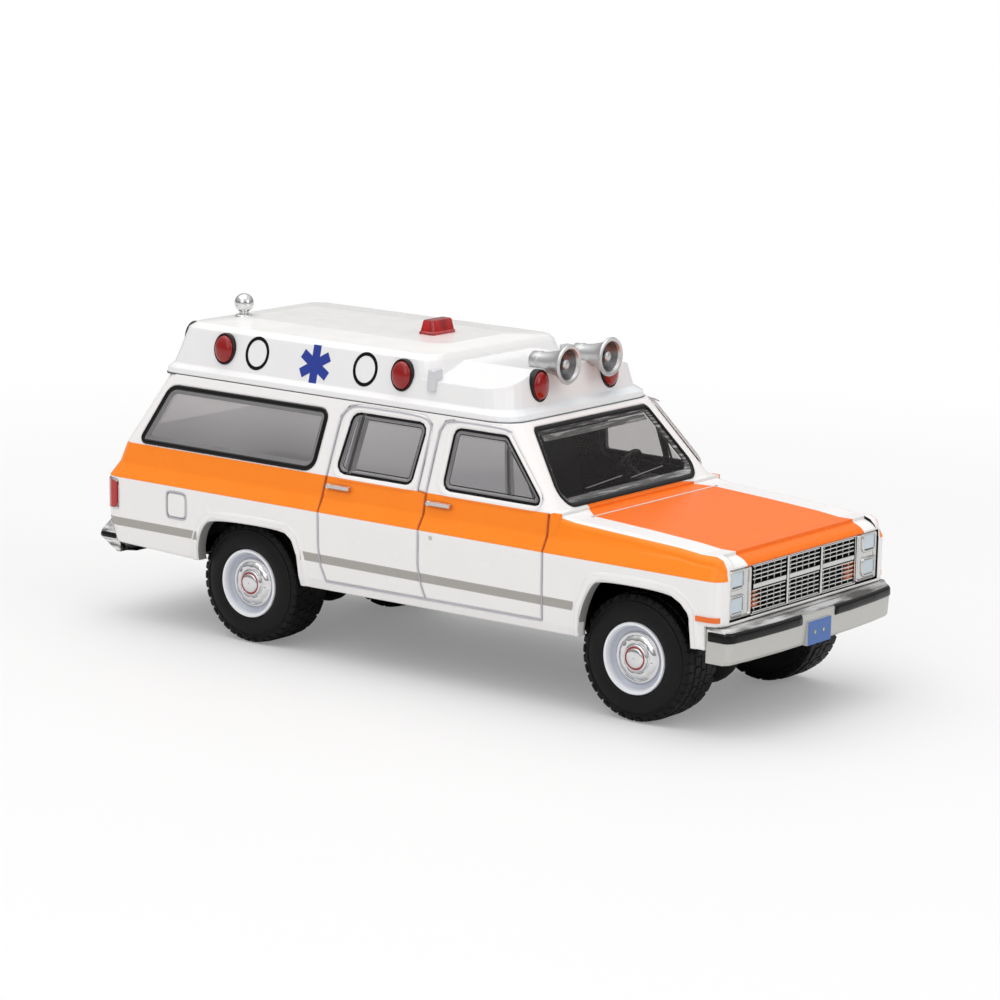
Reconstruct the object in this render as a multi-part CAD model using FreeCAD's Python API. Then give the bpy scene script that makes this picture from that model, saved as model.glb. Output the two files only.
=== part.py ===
import FreeCAD, Part
import math
import os

# 1:64 scale model of a square-bodied four-door wagon ambulance with a raised roof cap.
# All sizes are in millimetres. X points forward, Y to the left, Z up.
# The origin is on the floor, in the middle of the overall length.

# Driving sizes
WHEELBASE = 51.4
FRONT_OVERHANG = 12.9
REAR_OVERHANG = 22.2
HALF_WIDTH = 15.8
SILL_Z = 7.8
BELT_Z = 20.3
GUTTER_Z = 28.3
CAP_HEIGHT = 6.05
TYRE_RADIUS = 6.7
WALL = 1.0
FIT = 0.06
CORNER_STEPS = 4
WINDOW_STEPS = 3

# Lengthwise places that follow from them
LENGTH = WHEELBASE + FRONT_OVERHANG + REAR_OVERHANG
FRONT_END_X = LENGTH / 2
REAR_END_X = -LENGTH / 2
FRONT_AXLE_X = FRONT_END_X - FRONT_OVERHANG
REAR_AXLE_X = REAR_END_X + REAR_OVERHANG


def station_x(station):
    """X of a station: -100 rear end, 0 rear axle, 100 front axle, 200 front end."""
    if station < 0:
        return REAR_AXLE_X + station / 100.0 * REAR_OVERHANG
    if station <= 100:
        return REAR_AXLE_X + station / 100.0 * WHEELBASE
    return FRONT_AXLE_X + (station - 100) / 100.0 * FRONT_OVERHANG


def level_z(level):
    """Z of a level: 0 sill, 100 belt, 200 gutter."""
    if level <= 100:
        return SILL_Z + level / 100.0 * (BELT_Z - SILL_Z)
    return BELT_Z + (level - 100) / 100.0 * (GUTTER_Z - BELT_Z)


def side_points(pairs):
    """Side view outline from (station, level) pairs to (x, z) points."""
    return [(station_x(s), level_z(v)) for s, v in pairs]


# Body section as (level, distance in from the widest point)
SIDE_SECTION = [(0, 0.6), (9, 0.28), (30, 0.08), (69, 0.0), (81, 0.8), (100, 1.05), (200, 2.75)]
SHELF_LOW = 69
SHELF_HIGH = 81

# Body profile: tail as (level, distance ahead of the rear end)
TAIL_PROFILE = [(0, 3.2), (9, 2.6), (30, 1.9), (69, 1.9), (81, 2.7), (100, 3.6)]
TAIL_GUTTER = 8.5
TAIL_RADIUS = 1.8
SCREEN_LOW_RADIUS = 1.4
SCREEN_HIGH_RADIUS = 2.85
COWL_X = station_x(79.6)
SCREEN_TOP_X = station_x(67.1)
HOOD_SEAM_X = station_x(84.8)
NOSE_X = FRONT_END_X - 1.85
NOSE_RADIUS = 1.4
FENDER_RADIUS = 0.9
# Hood crest as (station, drop below the belt)
HOOD_PROFILE = [(84.8, 0.5), (98.4, 0.9), (141, 1.35), (161, 1.65), (178, 2.0), (185.7, 2.3)]
NOSE_DROP = 2.65
HOOD_LIP_HALF = HALF_WIDTH - 2.5
HOOD_HALF = HALF_WIDTH - 4.3
GATE_HALF = HALF_WIDTH - 3.2
WHEEL_Y = HALF_WIDTH * 0.4

# Lowest line of the body, as (station, level)
UNDERLINE = [(-100, 10.5), (-85, 9.2), (-28, 5.6), (16, 0.5), (87, 2.4), (98, 9), (162, 11.6), (200, 11.6)]

# Wheel arches in tyre radii from the axle, forward and up from the floor
REAR_ARCH = [(-0.96, 1.0), (-0.97, 1.53), (-0.85, 1.86), (-0.65, 2.02), (0.87, 2.05), (1.07, 1.91),
             (1.17, 1.67), (1.27, 1.0)]
FRONT_ARCH = [(-0.97, 1.0), (-0.91, 1.61), (-0.71, 2.06), (-0.53, 2.17), (0.71, 2.17), (0.96, 2.04),
              (1.11, 1.88), (1.19, 1.0)]
ARCH_LIP = 0.55
ARCH_RISE = 0.15
ARCH_DEPTH = 7.3

# Window outlines on the side, as (station, level) corners, and their corner radii
QUARTER_WINDOW = [(-73, 100.5), (-56.5, 186), (20, 186), (18, 100.5)]
QUARTER_RADII = [0.7, 2.0, 1.0, 1.7]
REAR_DOOR_WINDOW = [(23.5, 104), (26.2, 187.5), (46, 187.5), (43.8, 104)]
REAR_DOOR_RADII = [1.0, 1.3, 1.0, 1.0]
FRONT_DOOR_WINDOW = [(51.5, 105), (52.7, 187.5), (66.1, 187.5), (77.9, 105)]
FRONT_DOOR_RADII = [1.0, 1.0, 1.2, 0.6]

# Engraved lines as (station, level)
GROOVE_WIDTH = 0.22
GROOVE_DEPTH = 0.2
REAR_DOOR_LINE = [(23, 9), (21.6, 22), (21, 39), (20.8, 82), (21.5, 98), (22.5, 146), (23.2, 179),
                  (25, 192.5), (27.5, 195.5), (44.7, 195.5), (46.8, 186), (46.8, 176), (45.6, 100)]
FRONT_DOOR_LINE = [(49.3, 10), (48.2, 22), (47.4, 38), (47.4, 69), (47.8, 98), (49, 179),
                   (50.2, 192.5), (52.5, 195.5)]
SILL_LINE = [(23, 9), (49.3, 10), (78.9, 11)]
DOOR_FRONT_LINE = [(78.9, 11), (78.9, 99)]
BELT_LINE = [(45.6, 100), (47.9, 98.5)]
FILLER_OUTLINE = [(-49.5, 39.5), (-49.5, 64), (-36, 64), (-36, 39.5)]
HANDLE_LENGTH = 3.2
HANDLE_HEIGHT = 0.42
HANDLE_RISE = 0.32
HANDLES = [(48.4, 91), (22.0, 91)]

# Nose opening and grille
GRILLE_TOP_Z = BELT_Z - 2.95
GRILLE_BOTTOM_Z = SILL_Z + 4.25
BEZEL_HALF = HALF_WIDTH - 1.85
GRILLE_HALF = HALF_WIDTH - 6.0
GRILLE_DEPTH = 1.5
LENS_RISE = 0.12
GRILLE_FRAME = 0.35
GRILLE_BARS = [0.22, 0.31, 0.4, 0.69, 0.78, 0.87]
MID_BAR = 0.55
FINE_BAR_HALF = 0.1
MID_BAR_HALF = 0.28
POST_HALF = 0.3
LENS_WIDTH = 2.2
LENS_GAP = 1.05
LENS_LOW_INSET = 0.65
LENS_HIGH_INSET = 0.3
LENS_SIDE_INSET = 0.4

# Bumpers
BUMPER_HALF = HALF_WIDTH - 0.4
BUMPER_TOP = 3.9
BUMPER_BOW = 0.6
FRONT_BUMPER_BACK = NOSE_X - 1.75
REAR_BUMPER_BACK = -REAR_END_X - 4.05
STRIP_RISE = 0.18
FRONT_STRIP = (2.35, 3.3)
REAR_STRIP = (1.3, 2.1)
# Bumpers as (height above the sill, set back)
FRONT_BUMPER_SECTION = [(0.15, 0.55), (0.5, 0.3), (FRONT_STRIP[0], STRIP_RISE), (FRONT_STRIP[1], STRIP_RISE),
                        (BUMPER_TOP, 0.75)]
REAR_BUMPER_SECTION = [(-0.05, 2.4), (0.35, 1.8), (REAR_STRIP[0], STRIP_RISE), (REAR_STRIP[1], STRIP_RISE),
                       (3.4, 1.5)]
PLATE_HALF = 2.2
PLATE_HEIGHT = 2.5

# Wheels
TYRE_OUTER_Y = HALF_WIDTH - 1.2
TYRE_WIDTH = 5.9
TYRE_SIDES = 24
LUG_HEIGHT = 0.35
RIM_RADIUS = TYRE_RADIUS * 0.56
AXLE_RADIUS = 0.55
AXLE_PLAY = 0.08
AXLE_SIDES = 16
BULKHEAD = 0.55

# Roof cap
CAP_FOOT_HALF = HALF_WIDTH - 2.8
CAP_FOOT_Z = GUTTER_Z + 0.05
CAP_FLANGE_Z = GUTTER_Z + 0.65
CAP_BASE_Z = GUTTER_Z + 1.2
CAP_EDGE_Z = GUTTER_Z + 0.85 * CAP_HEIGHT
CAP_TOP_Z = GUTTER_Z + CAP_HEIGHT
CAP_REAR_X = REAR_END_X + 7.8
CAP_FRONT_X = SCREEN_TOP_X - 0.4
CAP_NOSE_X = CAP_FRONT_X - 1.35
CAP_STEP_X = station_x(43)
CAP_SHOULDER_Z = GUTTER_Z + 0.53 * CAP_HEIGHT
CAP_CREASE_Z = GUTTER_Z + 0.78 * CAP_HEIGHT
CAP_CREASE_HALF = CAP_FOOT_HALF * 0.46
CAP_RADIUS = 1.8
CAP_FRONT_RADIUS = 2.8

# Roof fittings
LAMP_WIDTH = 2.9
LAMP_HEIGHT = 3.5
LAMP_SIDES = 12
HORN_SIDES = 16
LENS_SHARE = 0.8
LAMP_Z = GUTTER_Z + 0.56 * CAP_HEIGHT
SIDE_LAMP_STATIONS = (-26, 37)
FRONT_LAMP_Y = CAP_FOOT_HALF * 0.485
REAR_LAMP_Y = CAP_FOOT_HALF * 0.66
MARKER_STATION = 45
HORN_Y = CAP_FOOT_HALF * 0.29
HORN_Z = CAP_CREASE_Z + 0.6
HORN_FRONT_X = CAP_FRONT_X + 0.7
HORN_REAR_X = HORN_FRONT_X - 5.0
HORN_BELL_RADIUS = 2.15
HORN_TUBE_RADIUS = 0.95
BEACON_X = station_x(27.6)
BALL_X = CAP_REAR_X + 5.3
BALL_Y = -5.1
BALL_RADIUS = 1.05


def vec(x, y, z):
    return FreeCAD.Vector(x, y, z)


def box(x0, x1, y0, y1, z0, z1):
    return Part.makeBox(x1 - x0, y1 - y0, z1 - z0, vec(x0, y0, z0))


def polygon_face(points):
    return Part.Face(Part.makePolygon(points + [points[0]]))


def prism_y(points, y0, y1):
    """Prism along Y from (x, z) points."""
    return polygon_face([vec(x, y0, z) for x, z in points]).extrude(vec(0, y1 - y0, 0))


def prism_x(points, x0, x1):
    """Prism along X from (y, z) points."""
    return polygon_face([vec(x0, y, z) for y, z in points]).extrude(vec(x1 - x0, 0, 0))


def swept_points(centre, start, end, steps):
    """Points along an arc about centre, from start to end."""
    u = start - centre
    v = end - centre
    angle = u.getAngle(v)
    points = []
    for i in range(steps + 1):
        t = i / float(steps)
        out = u * math.sin((1 - t) * angle) + v * math.sin(t * angle)
        points.append(centre + out * (1 / math.sin(angle)))
    return points


def rounded_outline(corners, radii):
    """Closed outline whose corners are rounded in short chords."""
    ring = []
    count = len(corners)
    for i in range(count):
        p = corners[i]
        u = (corners[i - 1] - p).normalize()
        v = (corners[(i + 1) % count] - p).normalize()
        half = u.getAngle(v) / 2
        reach = radii[i] / math.tan(half)
        centre = p + (u + v).normalize() * (radii[i] / math.sin(half))
        ring += swept_points(centre, p + u * reach, p + v * reach, WINDOW_STEPS)
    return ring


def rounded_face(corners, radii):
    return polygon_face(rounded_outline(corners, radii))


def mirrored(shape):
    """The same shape on the other side of the XZ plane."""
    return shape.mirror(vec(0, 0, 0), vec(0, 1, 0))


def both(shape):
    return [shape, mirrored(shape)]


def fused(shapes):
    result = shapes[0]
    if len(shapes) > 1:
        result = shapes[0].fuse(shapes[1:])
    return result.removeSplitter()


def ribbon(points, width):
    """Outline of a band along an open line of (x, z) points."""
    left = []
    right = []
    for i, (x, z) in enumerate(points):
        x0, z0 = points[max(i - 1, 0)]
        x1, z1 = points[min(i + 1, len(points) - 1)]
        run = math.hypot(x1 - x0, z1 - z0)
        nx = -(z1 - z0) / run * width / 2
        nz = (x1 - x0) / run * width / 2
        left.append((x + nx, z + nz))
        right.append((x - nx, z - nz))
    return left + right[::-1]


def rounded_ring(x0, x1, half, r0, r1, z):
    """Level outline with rear corner radius r0 and front corner radius r1."""
    ring = []
    for cx, cy, r, start in ((x1 - r1, -half + r1, r1, -90), (x1 - r1, half - r1, r1, 0),
                             (x0 + r0, half - r0, r0, 90), (x0 + r0, -half + r0, r0, 180)):
        for i in range(CORNER_STEPS + 1):
            a = math.radians(start + 90.0 * i / CORNER_STEPS)
            ring.append(vec(cx + r * math.cos(a), cy + r * math.sin(a), z))
    return ring


def flat_faces(a, b, c, d):
    """One face through four corners, or two where they aren't in one plane."""
    normal = (b - a).cross(c - a)
    if abs((d - a).dot(normal)) < 1e-6 * normal.Length:
        return [polygon_face([a, b, c, d])]
    return [polygon_face([a, b, c]), polygon_face([a, c, d])]


def lofted(rings):
    """Solid with flat faces through closed outlines that have the same number of corners."""
    faces = [polygon_face(rings[0]), polygon_face(rings[-1])]
    for low, high in zip(rings, rings[1:]):
        for i in range(len(low)):
            faces += flat_faces(low[i - 1], low[i], high[i], high[i - 1])
    shell = Part.makeShell(faces)
    shell.sewShape()
    solid = Part.makeSolid(shell)
    if solid.Volume < 0:
        solid.reverse()
    return solid


def stacked(levels):
    return lofted([rounded_ring(*level) for level in levels])


def turned(levels, sides, turn=0.5):
    """Many-sided solid about Z through (radius, z) levels."""
    rings = []
    for radius, z in levels:
        ring = []
        for i in range(sides):
            a = 2 * math.pi * (i + turn) / sides
            ring.append(vec(radius * math.cos(a), radius * math.sin(a), z))
        rings.append(ring)
    return lofted(rings)


def bar(start, end, radius, sides=8):
    """Many-sided rod between two points."""
    run = end - start
    rod = turned([(radius, 0), (radius, run.Length)], sides)
    rod.Placement = FreeCAD.Placement(start, FreeCAD.Rotation(vec(0, 0, 1), run))
    return rod


def inward(level):
    """Distance of the body side in from its widest point at a level."""
    for (l0, d0), (l1, d1) in zip(SIDE_SECTION, SIDE_SECTION[1:]):
        if level <= l1:
            return d0 + (d1 - d0) * (level - l0) / (l1 - l0)
    return SIDE_SECTION[-1][1]


def cabin_block(inset, floor):
    """Cabin from the sill to the belt, behind the windscreen."""
    radius = max(TAIL_RADIUS - inset, 0.3)
    front = COWL_X + 1.0 - 2.0 * inset
    levels = []
    for level, ahead in TAIL_PROFILE:
        z = level_z(level) if level else floor
        half = HALF_WIDTH - inward(level) - inset
        levels.append((REAR_END_X + ahead + inset, front, half, radius, 0.3, z))
    return stacked(levels)


def greenhouse_block(inset):
    """Glazed upper body between the belt and the gutter."""
    rear = max(TAIL_RADIUS - inset, 0.3)
    front_low = max(SCREEN_LOW_RADIUS - inset, 0.3)
    front_high = max(SCREEN_HIGH_RADIUS - inset, 0.3)
    top = GUTTER_Z - inset
    rise = (top - BELT_Z) / (GUTTER_Z - BELT_Z)
    tail_low = REAR_END_X + TAIL_PROFILE[-1][1]
    tail_high = tail_low + (TAIL_GUTTER - TAIL_PROFILE[-1][1]) * rise
    screen_high = COWL_X + (SCREEN_TOP_X - COWL_X) * rise
    half_low = HALF_WIDTH - inward(100)
    half_high = HALF_WIDTH - inward(100 + 100 * rise)
    return stacked([
        (tail_low + inset, COWL_X - inset, half_low - inset, rear, front_low, BELT_Z),
        (tail_high + inset, screen_high - inset, half_high - inset, rear, front_high, top)])


def clip_section(x, drop, narrow, inset, floor):
    """Front clip section: sides with the shelf, rounded shoulders and a flat top."""
    fade = 1.0 - 0.45 * max(0.0, (x - FRONT_AXLE_X) / FRONT_OVERHANG)
    widest = HALF_WIDTH - narrow - inset
    r = max(FENDER_RADIUS - inset * 0.5, 0.3)
    top = BELT_Z - drop - inset
    low_z = min(level_z(SHELF_LOW), top - r - 0.5)
    high_z = min(level_z(SHELF_HIGH), top - r - 0.2)
    crest = widest - inward(100) * fade
    heights = [(floor, inward(0)), (level_z(9), inward(9)), (level_z(30), inward(30))]
    heights += [(low_z, inward(SHELF_LOW)), (high_z, inward(SHELF_HIGH) * fade)]
    right = [vec(x, -(widest - d), z) for z, d in heights]
    centre = vec(x, -crest + r, top - r)
    right += swept_points(centre, vec(x, -crest, top - r), vec(x, -crest + r, top), CORNER_STEPS)
    return right + [vec(x, -p.y, p.z) for p in reversed(right)]


def clip_block(inset, floor):
    """Front clip: fenders, hood and nose."""
    front = NOSE_X - inset
    radius = max(NOSE_RADIUS - inset, 0.3)
    stations = [(COWL_X - 1.0, 0.05), (COWL_X, 0.1)] + [(station_x(s), d) for s, d in HOOD_PROFILE]
    stations = [(x, d) for x, d in stations if x < front - radius - 0.2]
    rings = [clip_section(x, drop, 0.0, inset, floor) for x, drop in stations]
    drop = stations[-1][1]
    last = NOSE_DROP if inset <= 0 else drop
    for i in range(CORNER_STEPS):
        a = math.pi / 2 * i / (CORNER_STEPS - 1)
        forward = math.sin(a)
        sunk = drop + (last - drop) * forward * forward
        x = front - radius + radius * forward
        rings.append(clip_section(x, sunk, radius * (1 - math.cos(a)), inset, floor))
    return lofted(rings)


def body_block(inset, floor=SILL_Z):
    return fused([cabin_block(inset, floor), greenhouse_block(inset), clip_block(inset, floor)])


def arch_prism(shape, axle_x, grow):
    ring = []
    for forward, up in shape:
        x = forward * TYRE_RADIUS + math.copysign(grow, forward)
        z = up * TYRE_RADIUS + (grow if up > 1.4 else -2.0)
        ring.append((axle_x + x, z))
    return prism_y(ring, -HALF_WIDTH - 2, -HALF_WIDTH + ARCH_DEPTH)


def arches(grow):
    shapes = []
    for shape, axle_x in ((REAR_ARCH, REAR_AXLE_X), (FRONT_ARCH, FRONT_AXLE_X)):
        shapes += both(arch_prism(shape, axle_x, grow))
    return shapes


def side_window(pairs, radii, grow):
    """Window prism through the right side, grown all round."""
    ring = [vec(x, -HALF_WIDTH - 2, z) for x, z in side_points(pairs)]
    centre = sum(ring, vec(0, 0, 0)) * (1.0 / len(ring))
    corners = []
    for p in ring:
        out = p - centre
        corners.append(p + vec(grow * math.copysign(1, out.x), 0, grow * math.copysign(1, out.z)))
    return rounded_face(corners, [r + grow for r in radii]).extrude(vec(0, 8, 0))


def side_windows(grow):
    shapes = []
    for pairs, radii in ((QUARTER_WINDOW, QUARTER_RADII), (REAR_DOOR_WINDOW, REAR_DOOR_RADII),
                         (FRONT_DOOR_WINDOW, FRONT_DOOR_RADII)):
        shapes += both(side_window(pairs, radii, grow))
    return shapes


def end_window(x0, x1, low_half, high_half, low_level, high_level, grow):
    """Windscreen or tail window prism along X."""
    z0 = level_z(low_level) - grow
    z1 = level_z(high_level) + grow
    low = low_half + grow
    high = high_half + grow
    corners = [vec(x0, -low, z0), vec(x0, low, z0), vec(x0, high, z1), vec(x0, -high, z1)]
    return rounded_face(corners, [1.6, 1.6, 0.8, 0.8]).extrude(vec(x1 - x0, 0, 0))


def windows(grow):
    low = HALF_WIDTH - inward(100)
    high = HALF_WIDTH - inward(200)
    screen = end_window(SCREEN_TOP_X - 4, COWL_X + 2, low - 1.95, high - 2.85, 100.5, 194, grow)
    tail = end_window(REAR_END_X, REAR_END_X + 12, low - 3.2, high - 2.9, 110, 184, grow)
    return side_windows(grow) + [screen, tail]


def engraved_lines(core):
    """Shut lines of the doors, sills, filler door, hood and tailgate, kept shallow by the core."""
    outer = -HALF_WIDTH - 1
    inner = -HALF_WIDTH + 4
    lines = []
    for pairs in (REAR_DOOR_LINE, FRONT_DOOR_LINE, SILL_LINE, DOOR_FRONT_LINE, BELT_LINE):
        lines += both(prism_y(ribbon(side_points(pairs), GROOVE_WIDTH), outer, inner))
    corners = [vec(x, outer, z) for x, z in side_points(FILLER_OUTLINE)]
    filler = rounded_face(corners, [0.7] * 4).extrude(vec(0, 4, 0))
    inside = [vec(x + math.copysign(GROOVE_WIDTH, station_x(-43) - x), outer,
                  z + math.copysign(GROOVE_WIDTH, level_z(52) - z)) for x, z in side_points(FILLER_OUTLINE)]
    lines.append(filler.cut(rounded_face(inside, [0.5] * 4).extrude(vec(0, 4, 0))))
    half = GROOVE_WIDTH / 2
    lines.append(box(HOOD_SEAM_X - half, HOOD_SEAM_X + half, -HOOD_HALF, HOOD_HALF, BELT_Z - 3, BELT_Z + 2))
    reach = REAR_END_X + 6
    for y in (-GATE_HALF, GATE_HALF):
        lines.append(box(REAR_END_X, reach, y - half, y + half, level_z(34), level_z(99)))
    for z in (level_z(34), level_z(99)):
        lines.append(box(REAR_END_X, reach, -GATE_HALF, GATE_HALF, z, z + GROOVE_WIDTH))
    return Part.makeCompound(lines).cut(core)


def door_handles():
    """Pull handles standing off the door skins."""
    y = HALF_WIDTH - inward(91)
    shapes = []
    for station, level in HANDLES:
        x = station_x(station)
        z = level_z(level)
        half = HANDLE_HEIGHT / 2
        pull = box(x, x + HANDLE_LENGTH, -y - HANDLE_RISE, -y + 0.4, z - half, z + half)
        shapes += both(pull)
    return shapes


def underside():
    """Everything below the lowest line of the body."""
    line = side_points(UNDERLINE)
    ring = [(REAR_END_X - 2, 0)] + [(REAR_END_X - 2, line[0][1])] + line
    ring += [(FRONT_END_X + 2, line[-1][1]), (FRONT_END_X + 2, 0)]
    return prism_y(ring, -HALF_WIDTH - 2, HALF_WIDTH + 2)


def hood_lip():
    """Cut that rolls the front edge of the hood down between the fender peaks."""
    ring = [(-1.45, -1.95), (-0.8, -2.2), (-0.35, -2.45), (0.0, -2.8), (0.35, -2.8), (0.35, 0), (-1.45, 0)]
    points = [(NOSE_X + x, BELT_Z + z) for x, z in ring]
    return prism_y(points, -HOOD_LIP_HALF, HOOD_LIP_HALF)


def bumper_notch():
    """Space that the front bumper takes below the nose."""
    half = HALF_WIDTH + 2
    return box(FRONT_BUMPER_BACK - FIT, FRONT_END_X + 2, -half, half, 0, SILL_Z + BUMPER_TOP + FIT)


def tail_lamp_box(grow):
    x0 = REAR_END_X
    x1 = REAR_END_X + 4.0
    half = HALF_WIDTH - 2.5
    return box(x0, x1 + grow, -HALF_WIDTH - 1, -half + grow, level_z(40) - grow, level_z(65.5) + grow)


def body_shell(block):
    lips = fused(arches(ARCH_LIP)).common(body_block(-ARCH_RISE))
    lips = lips.cut(box(REAR_END_X, FRONT_END_X, -HALF_WIDTH + 1.5, HALF_WIDTH - 1.5, 0, GUTTER_Z))
    shell = fused([block, lips] + door_handles())
    core = body_block(GROOVE_DEPTH)
    nose_back = NOSE_X - GRILLE_DEPTH - WALL
    nose = box(nose_back, NOSE_X + 1, -BEZEL_HALF, BEZEL_HALF, GRILLE_BOTTOM_Z, GRILLE_TOP_Z)
    pocket = tail_lamp_box(FIT).cut(body_block(0.5))
    cuts = [body_block(WALL, SILL_Z - 3), underside(), nose, hood_lip(), bumper_notch()]
    cuts += [engraved_lines(core)] + arches(0) + windows(0) + both(pocket)
    return shell.cut(cuts)


def window_insert():
    """One clear moulding: an inner skin with a pane standing in each opening."""
    skin = greenhouse_block(WALL + FIT)
    hollow = greenhouse_block(WALL + FIT + 0.6)
    skin = skin.cut([hollow, hollow.translated(vec(0, 0, -1.5))])
    panes = greenhouse_block(0.2).cut(greenhouse_block(WALL + 0.3)).common(fused(windows(-FIT)))
    return fused([skin, panes])


def roof_cap():
    r = CAP_RADIUS
    side = CAP_FOOT_HALF - 0.6
    foot = stacked([
        (CAP_REAR_X, CAP_FRONT_X, CAP_FOOT_HALF, r, CAP_FRONT_RADIUS, CAP_FOOT_Z),
        (CAP_REAR_X + 0.1, CAP_FRONT_X - 0.15, CAP_FOOT_HALF - 0.08, r, CAP_FRONT_RADIUS, CAP_FLANGE_Z),
        (CAP_REAR_X + 0.6, CAP_NOSE_X + 0.3, side, r, CAP_FRONT_RADIUS, CAP_BASE_Z)])
    main = stacked([
        (CAP_REAR_X + 0.6, CAP_STEP_X + 2.0, side, r, r, CAP_BASE_Z),
        (CAP_REAR_X + 1.9, CAP_STEP_X + 0.3, side - 0.9, r, r, CAP_EDGE_Z),
        (CAP_REAR_X + 2.6, CAP_STEP_X, side - 1.5, r, r, CAP_EDGE_Z + 0.09 * CAP_HEIGHT),
        (CAP_REAR_X + 6.0, CAP_STEP_X - 2.5, side - 6.4, r, r, CAP_TOP_Z)])
    right = [(side, CAP_BASE_Z), (side - 0.4, CAP_SHOULDER_Z), (CAP_CREASE_HALF, CAP_CREASE_Z)]
    ring = right + [(-y, z) for y, z in reversed(right)]
    front = prism_x(ring, CAP_STEP_X - 3, CAP_NOSE_X + 0.3)
    lean = stacked([
        (CAP_STEP_X - 4, CAP_NOSE_X + 0.3, side, 0.5, CAP_FRONT_RADIUS, CAP_BASE_Z),
        (CAP_STEP_X - 4, CAP_NOSE_X - 0.15, side - 0.4, 0.5, CAP_FRONT_RADIUS, CAP_SHOULDER_Z),
        (CAP_STEP_X - 4, CAP_NOSE_X - 0.6, side - 0.4, 0.5, CAP_FRONT_RADIUS, CAP_CREASE_Z + 0.1)])
    return fused([foot, main, front.common(lean)])


def oval_ring(size, depth):
    """Lamp outline in the XZ plane at y = -depth; size 1 is the whole lamp."""
    ring = []
    for i in range(LAMP_SIDES):
        a = 2 * math.pi * i / LAMP_SIDES
        ring.append(vec(size * LAMP_WIDTH / 2 * math.cos(a), -depth, size * LAMP_HEIGHT / 2 * math.sin(a)))
    return ring


def lamp_sites():
    """Places of the oval lamps as (name, x, y, z, turn); they face outwards."""
    side = CAP_FOOT_HALF - 1.15
    sites = []
    for word, station in zip(("rear", "front"), SIDE_LAMP_STATIONS):
        sites.append(("side_lamp_" + word + "_right", station_x(station), -side, LAMP_Z, 0))
        sites.append(("side_lamp_" + word + "_left", station_x(station), side, LAMP_Z, 180))
    for word, sign in (("right", -1), ("left", 1)):
        sites.append(("roof_lamp_front_" + word, CAP_NOSE_X - 0.2, sign * FRONT_LAMP_Y, LAMP_Z - 0.2, 90))
        sites.append(("roof_lamp_rear_" + word, CAP_REAR_X + 1.3, sign * REAR_LAMP_Y, LAMP_Z + 0.2, 270))
    return sites


def on_site(shape, site):
    part = shape.copy()
    part.rotate(vec(0, 0, 0), vec(0, 0, 1), site[4])
    part.translate(vec(site[1], site[2], site[3]))
    return part


def lamp_bezel(site, cap):
    """Black oval rim round a lamp."""
    rim_ring = lofted([oval_ring(1.0, 0), oval_ring(1.0, 0.5)])
    hole = lofted([oval_ring(LENS_SHARE + 0.03, -1), oval_ring(LENS_SHARE + 0.03, 1)])
    return on_site(rim_ring.cut(hole), site).cut(cap)


def lamp_dome(site, cap):
    steps = [(1.0, 0), (1.0, 0.45), (0.75, 0.78), (0.3, 0.92)]
    dome = lofted([oval_ring(LENS_SHARE * share, depth) for share, depth in steps])
    return on_site(dome, site).cut(cap)


def roof_markers(cap):
    """Small bright clearance lamps on both flanks of the cap."""
    x = station_x(MARKER_STATION)
    y = -CAP_FOOT_HALF + 1.0
    low = LAMP_Z - 1.2
    high = LAMP_Z + 1.1
    ring = [(y + 0.5, low), (y - 0.55, low), (y - 0.15, high), (y + 0.5, high)]
    marker = prism_x(ring, x - 0.6, x + 0.6).cut(cap)
    return Part.makeCompound(both(marker))


def beacon(cap):
    low = CAP_TOP_Z - 0.1
    wedge = stacked([(BEACON_X - 1.05, BEACON_X + 1.05, 2.05, 0.3, 0.3, low),
                     (BEACON_X - 0.75, BEACON_X + 0.75, 1.6, 0.3, 0.3, CAP_TOP_Z + 1.55)])
    return wedge.cut(cap)


def ball_lamp(cap):
    """Bright ball on a flanged neck."""
    z = CAP_TOP_Z - 0.4
    ball = turned([(0.9, z), (0.9, z + 0.4), (0.45, z + 0.65), (0.45, z + 0.95), (0.8, z + 1.25),
                   (BALL_RADIUS, z + 1.85), (0.8, z + 2.5), (0.3, z + 2.85)], LAMP_SIDES)
    ball.translate(vec(BALL_X, BALL_Y, 0))
    return ball.cut(cap)


def horn(side, cap):
    length = HORN_FRONT_X - HORN_REAR_X
    t = HORN_TUBE_RADIUS
    b = HORN_BELL_RADIUS
    flare = [(t, length - 2.6), (t * 1.35, length - 1.5), (b - 0.1, length - 0.4), (b, length)]
    outside = turned([(t * 0.75, 0), (t, 0.3)] + flare, HORN_SIDES)
    cup = turned([(t * 0.6, length - 1.7), (b * 0.72, length - 0.5), (b * 0.8, length + 0.1)], HORN_SIDES)
    button = turned([(0.45, length - 1.9), (0.45, length - 0.6), (0.2, length - 0.35)], 8)
    part = fused([outside.cut(cup), button])
    part.rotate(vec(0, 0, 0), vec(0, 1, 0), 90)
    part.translate(vec(HORN_REAR_X, side * HORN_Y, HORN_Z))
    return part.cut(cap)


def grille_heights():
    low = GRILLE_BOTTOM_Z + FIT
    high = GRILLE_TOP_Z - FIT
    return low, high


def lens_boxes(grow, x0, x1):
    """Right headlamp lens blocks, one above the other."""
    low, high = grille_heights()
    y1 = -BEZEL_HALF + LENS_SIDE_INSET + LENS_WIDTH
    tall = (high - low - LENS_GAP - LENS_LOW_INSET - LENS_HIGH_INSET) / 2
    shapes = []
    for z in (low + LENS_LOW_INSET, high - LENS_HIGH_INSET - tall):
        shapes.append(box(x0, x1, y1 - LENS_WIDTH - grow, y1 + grow, z - grow, z + tall + grow))
    return shapes


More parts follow.
